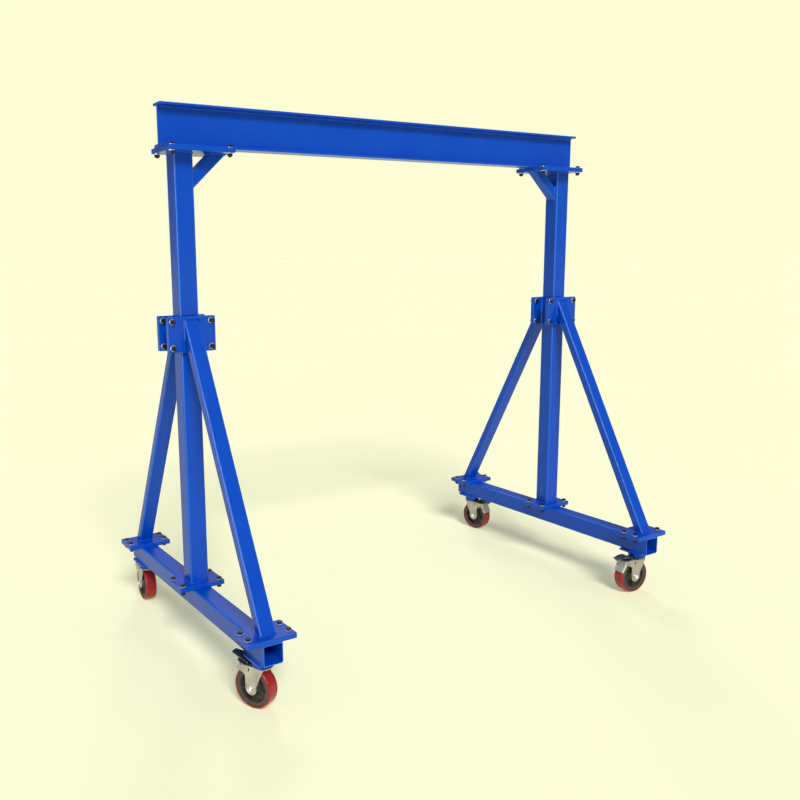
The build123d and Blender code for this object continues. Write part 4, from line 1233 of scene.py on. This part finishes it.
def tyre():
    """Section from side to side: side, shoulder arc, crown r = R - 0.5 mm (n / half)^2, and back."""
    bend = np.linspace(0, math.pi / 2, 9)
    shoulder_n = TYRE_HALF - SHOULDER + SHOULDER * np.cos(bend)
    shoulder_r = TYRE_R - SHOULDER + SHOULDER * np.sin(bend)
    side = np.array([(CORE_R, TYRE_HALF - 1 * MM), (CORE_R + 0.6 * MM, TYRE_HALF - 0.3 * MM),
                     (CORE_R + 1.5 * MM, TYRE_HALF)])
    face = np.linspace(TYRE_HALF - SHOULDER, 0, 9)[1:]
    half = np.concatenate([side, np.stack([shoulder_r, shoulder_n], 1),
                           np.stack([0 * face + TYRE_R, face], 1)])
    profile = np.concatenate([half, half[-2::-1] * [1, -1]])
    crown = profile[:, 0] > TYRE_R - 0.01 * MM
    profile[:, 0] -= np.where(crown, 0.5 * MM * (profile[:, 1] / TYRE_HALF) ** 2, 0)
    wear_and_sheen = np.where(np.abs(np.abs(profile[:, 1]) - TYRE_HALF + SHOULDER / 2) < SHOULDER / 2, 0.5, 0)
    return turned(profile, 128, wear_and_sheen)


for name in CASTERS:
    _, axle, _, t, n = caster_axes(name)
    make_piece(f"wheel_core_{name}_cast", place(wheel_core(), axle, t, DOWN, n), f"wheel_{name}",
               cast_iron, [f"wheel_core_{name}"])
    make_piece(f"tyre_{name}", place(tyre(), axle, t, DOWN, n), f"wheel_{name}",
               tyre_red, [f"wheel_tread_{name}"])

# %% [markdown]
# ## Brake shoe
# The shoe is a box of thin sheet, open towards the wheel: two cheeks hinged on the fork's arms and a
# back plate behind the tread. Down the box, each station is a U: in along one cheek's edge, round a
# small bend, across the back plate and out along the other cheek. Two lines give its whole shape, the
# back plate's and the cheeks' free edge, both seen from the side with the pivot at the origin.

# %% Brake shoe
SHOE_HALF, SHOE_SHEET, SHOE_BEND = 36.1 * MM, 2.6 * MM, 4 * MM
SHOE_TOP, SHOE_FOOT = np.array([25, 6]) * MM, np.array([56, -60]) * MM
SHOE_FREE = np.array([(-9, 6), (-9, -9), (12.5, -9), (45, -60)]) * MM
SHOE_FREE_AT = [0, 0.12, 0.3, 1]


def shoe_sheet():
    """U stations between an outer line, top to foot of the back plate, and the cheeks' free edge."""
    down = np.linspace(0, 1, 13)
    back = SHOE_TOP + down[:, None] * (SHOE_FOOT - SHOE_TOP)
    free = np.stack([np.interp(down, SHOE_FREE_AT, SHOE_FREE[:, i]) for i in (0, 1)], 1)
    out = unit(back - free)
    bend = np.linspace(0, math.pi / 2, 5)
    corner = back - out * SHOE_BEND
    edge = [free + (corner - free) * share for share in np.linspace(0, 1, 4)[:-1]]
    reach = np.stack(edge + [corner + out * SHOE_BEND * math.sin(a) for a in bend])
    width = np.concatenate([np.full(3, SHOE_HALF), SHOE_HALF - SHOE_BEND + SHOE_BEND * np.cos(bend)])
    lean = np.concatenate([np.zeros(3), bend])
    reach = np.concatenate([reach, reach[::-1]])
    width = np.concatenate([width, -width[::-1]])
    lean_out = np.concatenate([np.sin(lean), np.sin(lean)[::-1]])
    lean_side = np.concatenate([np.cos(lean), -np.cos(lean)[::-1]])
    side = np.broadcast_to(width[:, None], reach.shape[:2])
    outer = np.stack([reach[..., 0], side, reach[..., 1]], -1)
    normal = np.stack([lean_out[:, None] * out[None, :, 0],
                       np.broadcast_to(lean_side[:, None], side.shape),
                       lean_out[:, None] * out[None, :, 1]], -1)
    return sheet(outer, normal, SHOE_SHEET)


def notch_cutter():
    """Small block across one edge of the back plate."""
    block = slab(rectangle(14 * MM, 11 * MM, 1.5 * MM), 16 * MM, edge=0.1 * MM)
    return place(block, (45 * MM, -45 * MM, -34 * MM), (0.9, 0, 0.42), (0.42, 0, -0.9), (0, 1, 0))


print("shoe sheet", len(shoe_sheet()[0]), "points")

# %% [markdown]
# ## Brake pedal
# The pedal is one strip of sheet bent into a C lying on its back: the lower wing sits on the shoe and
# the upper wing is pressed by the toe. Its middle line is a few points, rounded by cutting their
# corners three times, and its width narrows towards the tips. A Subdivision Surface modifier would
# round the line in the same way, but it would pull the strip's cut edges in as well.

# %% Brake pedal
PEDAL_SHEET, PEDAL_HALF, PEDAL_TIP = 3 * MM, 34.5 * MM, 17 * MM
PEDAL_LINE = np.array([(46, 9.5), (14, 7.5), (-10, 7.5), (-18, 11.5), (-21, 18.5), (-16, 25.5),
                       (4, 29.5), (38, 28), (70, 23.5), (84, 23), (88, 25.5)]) * MM
TIP_R = 7 * MM


def cut_corners(line):
    """Each inner corner becomes two points a quarter of the way along its sides; the ends stay."""
    low, high = line[:-1] * 0.75 + line[1:] * 0.25, line[:-1] * 0.25 + line[1:] * 0.75
    return np.concatenate([line[:1], np.stack([low, high], 1).reshape(-1, 2)[1:-1], line[-1:]])


def pedal_sheet():
    """Stations along the line; across, the strip is slightly crowned and its tips are rounded."""
    line = cut_corners(cut_corners(cut_corners(PEDAL_LINE)))
    run = np.concatenate([[0], np.cumsum(np.linalg.norm(np.diff(line, axis=0), axis=1))])
    ends = np.minimum(run, run[-1] - run)
    half = np.interp(line[:, 0], [26 * MM, 94 * MM], [PEDAL_HALF, PEDAL_TIP])
    arc = np.sqrt(np.clip(1 - (1 - ends / TIP_R) ** 2, 0, 1))
    half = half - 6 * MM * (1 - arc) * (ends < TIP_R)
    tangent = unit(np.gradient(line, axis=0))
    normal = np.stack([tangent[:, 1], -tangent[:, 0]], 1)
    across = np.linspace(-1, 1, 13)[None]
    crown = 0.7 * MM * (1 - across ** 2) * step(run[:, None], 60 * MM, 90 * MM)
    offset = PEDAL_SHEET / 2 - crown
    outer = np.stack([line[:, :1] + normal[:, :1] * offset, half[:, None] * across,
                      line[:, 1:] + normal[:, 1:] * offset], -1)
    normals = np.stack([normal[:, 0], 0 * run, normal[:, 1]], 1)
    return sheet(outer, np.broadcast_to(normals[:, None], outer.shape), PEDAL_SHEET)


shoe_blank = cut_out(shoe_sheet(), notch_cutter())
for name in CASTERS:
    _, _, pivot, t, n = caster_axes(name)
    cos, sin = math.cos(brake_lift(name)), math.sin(brake_lift(name))
    x, z = t * cos + UP * sin, UP * cos - t * sin
    shoe = make_piece(f"brake_shoe_{name}_bent", place(shoe_blank, pivot, x, n, z),
                      f"brake_{name}", shoe_zinc, [f"brake_shoe_{name}"])
    bevel(shoe, 0.5 * MM)
    pedal = make_piece(f"brake_pedal_{name}_bent", place(pedal_sheet(), pivot, x, n, z),
                       f"brake_{name}", pedal_paint, [f"brake_pedal_{name}"])
    bevel(pedal, 0.9 * MM)

# %% [markdown]
# ## Pieces kept from the CAD model
# The balls, kingpins and bearings sit deep inside, and their CAD shape is right. New meshes would add
# nothing that can be seen, so these nodes stay as they are and only get their finish.

# %% Finish the kept nodes
for node, piece in frame["nodes"].items():
    kept = {"swivel_balls": bearing_steel, "kingpins": zinc}.get(node)
    if node.startswith("wheel_bearings"):
        kept = bearing_steel
    if kept:
        piece.data.materials.clear()
        piece.data.materials.append(kept)
        print("kept", node)

# %% [markdown]
# ## Floor and sky
# A studio has a paper sweep, so that no line parts floor from wall. Here a plain pale floor runs far
# out to a sky of the same tone, which does the same with four points. The sky is cream only to the
# camera: what lights the crane is a softer, cooler white, or its blue would turn green.

# %% Floor and sky
CREAM = (0.98, 0.98, 0.67)
FLOOR_REACH, FLOOR_GLOW, SKY_LIGHT = 900.0, 0.19, 0.28


def floor_material():
    """Matt cream whose tone drifts by a few hundredths, with a fine grain in its bump."""
    tones = [tuple(share * c for c in CREAM) for share in (0.93, 0.95)]
    material = finish("pale_floor", tones, (0.85, 0.95), (40, 0.5), 0.02, blotch=(0.3, 0.6))
    shader = material.node_tree.nodes["Principled BSDF"]
    shader.inputs["Specular IOR Level"].default_value = 0.0
    shader.inputs["Emission Color"].default_value = (*CREAM, 1)
    shader.inputs["Emission Strength"].default_value = FLOOR_GLOW
    return material


ground = bpy.data.meshes.new("floor")
ground.from_pydata([(x * FLOOR_REACH, y * FLOOR_REACH, 0) for x, y in
                    ((-1, -1), (1, -1), (1, 1), (-1, 1))], [], [(0, 1, 2, 3)])
ground.materials.append(floor_material())
floor = bpy.data.objects.new("floor", ground)
bpy.context.scene.collection.objects.link(floor)

world = bpy.data.worlds.new("studio")
bpy.context.scene.world = world
world.use_nodes = True
tree = world.node_tree
soft, seen = tree.nodes["Background"], tree.nodes.new("ShaderNodeBackground")
soft.inputs["Color"].default_value = (0.93, 0.95, 1.0, 1)
soft.inputs["Strength"].default_value = SKY_LIGHT
seen.inputs["Color"].default_value = (*CREAM, 1)
seen.inputs["Strength"].default_value = 1.0
ray, choose = tree.nodes.new("ShaderNodeLightPath"), tree.nodes.new("ShaderNodeMixShader")
tree.links.new(ray.outputs["Is Camera Ray"], choose.inputs[0])
tree.links.new(soft.outputs[0], choose.inputs[1])
tree.links.new(seen.outputs[0], choose.inputs[2])
tree.links.new(choose.outputs[0], tree.nodes["World Output"].inputs["Surface"])
bpy.context.scene.view_settings.view_transform = "Standard"
print("floor", 2 * FLOOR_REACH, "m wide, sky light", SKY_LIGHT)

# %% [markdown]
# ## Lights
# A wide sun high in front brightens the tops and the fronts, and a faint one from behind picks out the
# edges. A spot would do for one side of the crane, but a sun lights it evenly from end to end, and a
# wide one has soft shadows. A panel on the left is only mirrored in the gloss, so that the rounded
# corners of the tubes carry a bright line.

# %% Suns and panel


def look_along(ahead, above):
    """Columns right, up and back for something that faces ahead, as a matrix without a place."""
    right = unit(np.cross(ahead, above))
    return np.stack([right, np.cross(right, ahead), -ahead], 1)


def stand(item, axes, at):
    """Set an object's place from three axes and a point, and link it."""
    item.matrix_world = mathutils.Matrix([[*axes[i], at[i]] for i in range(3)] + [[0, 0, 0, 1]])
    bpy.context.scene.collection.objects.link(item)


def sun(name, towards, strength, spread):
    """A sun seen in the direction towards, spread degrees wide."""
    data = bpy.data.lights.new(name, "SUN")
    data.energy, data.angle = strength, math.radians(spread)
    towards = unit(towards)
    stand(bpy.data.objects.new(name, data), look_along(-towards, UP), 8 * towards)
    print(name, "sun", strength)


sun("key", (-0.22, -0.72, 0.66), 2.5, 20)
sun("edge", (0.35, 0.70, 0.62), 0.4, 15)
panel_light = bpy.data.lights.new("panel", "AREA")
panel_light.shape, panel_light.size, panel_light.size_y = "RECTANGLE", 3.0, 3.6
panel_light.energy = 300
panel = bpy.data.objects.new("panel", panel_light)
stand(panel, look_along(unit((1.0, 0.3, 0)), UP), (-6.0, -2.6, 2.4))
panel.visible_diffuse = panel.visible_camera = False

# %% [markdown]
# ## Camera
# The camera stands above head height in front of the left end, looks right and slightly down, and
# leans by less than a degree. Its three angles give the direction ahead; right and up follow from it,
# and the lean then turns those two about the view. The small lens shift only places the crane in the
# frame, without changing its perspective.

# %% Camera
CAMERA_AT = np.array([-2.9228, MID_Y - 3.9449, 2.0369])
YAW, PITCH, ROLL = 0.54515, -0.17416, -0.0139
ahead = np.array([math.sin(YAW) * math.cos(PITCH), math.cos(YAW) * math.cos(PITCH), math.sin(PITCH)])
right, above, back = look_along(ahead, UP).T
turned_right = right * math.cos(ROLL) + above * math.sin(ROLL)
turned_up = above * math.cos(ROLL) - right * math.sin(ROLL)
camera = bpy.data.objects.new("camera", bpy.data.cameras.new("camera"))
stand(camera, np.stack([turned_right, turned_up, back], 1), CAMERA_AT)
camera.data.lens, camera.data.sensor_width = 38.10, 36.0
camera.data.shift_x, camera.data.shift_y = 0.10402, 0.00653
camera.data.clip_end = 3000
bpy.context.scene.camera = camera
print("camera at", CAMERA_AT.round(3), "lens", camera.data.lens)
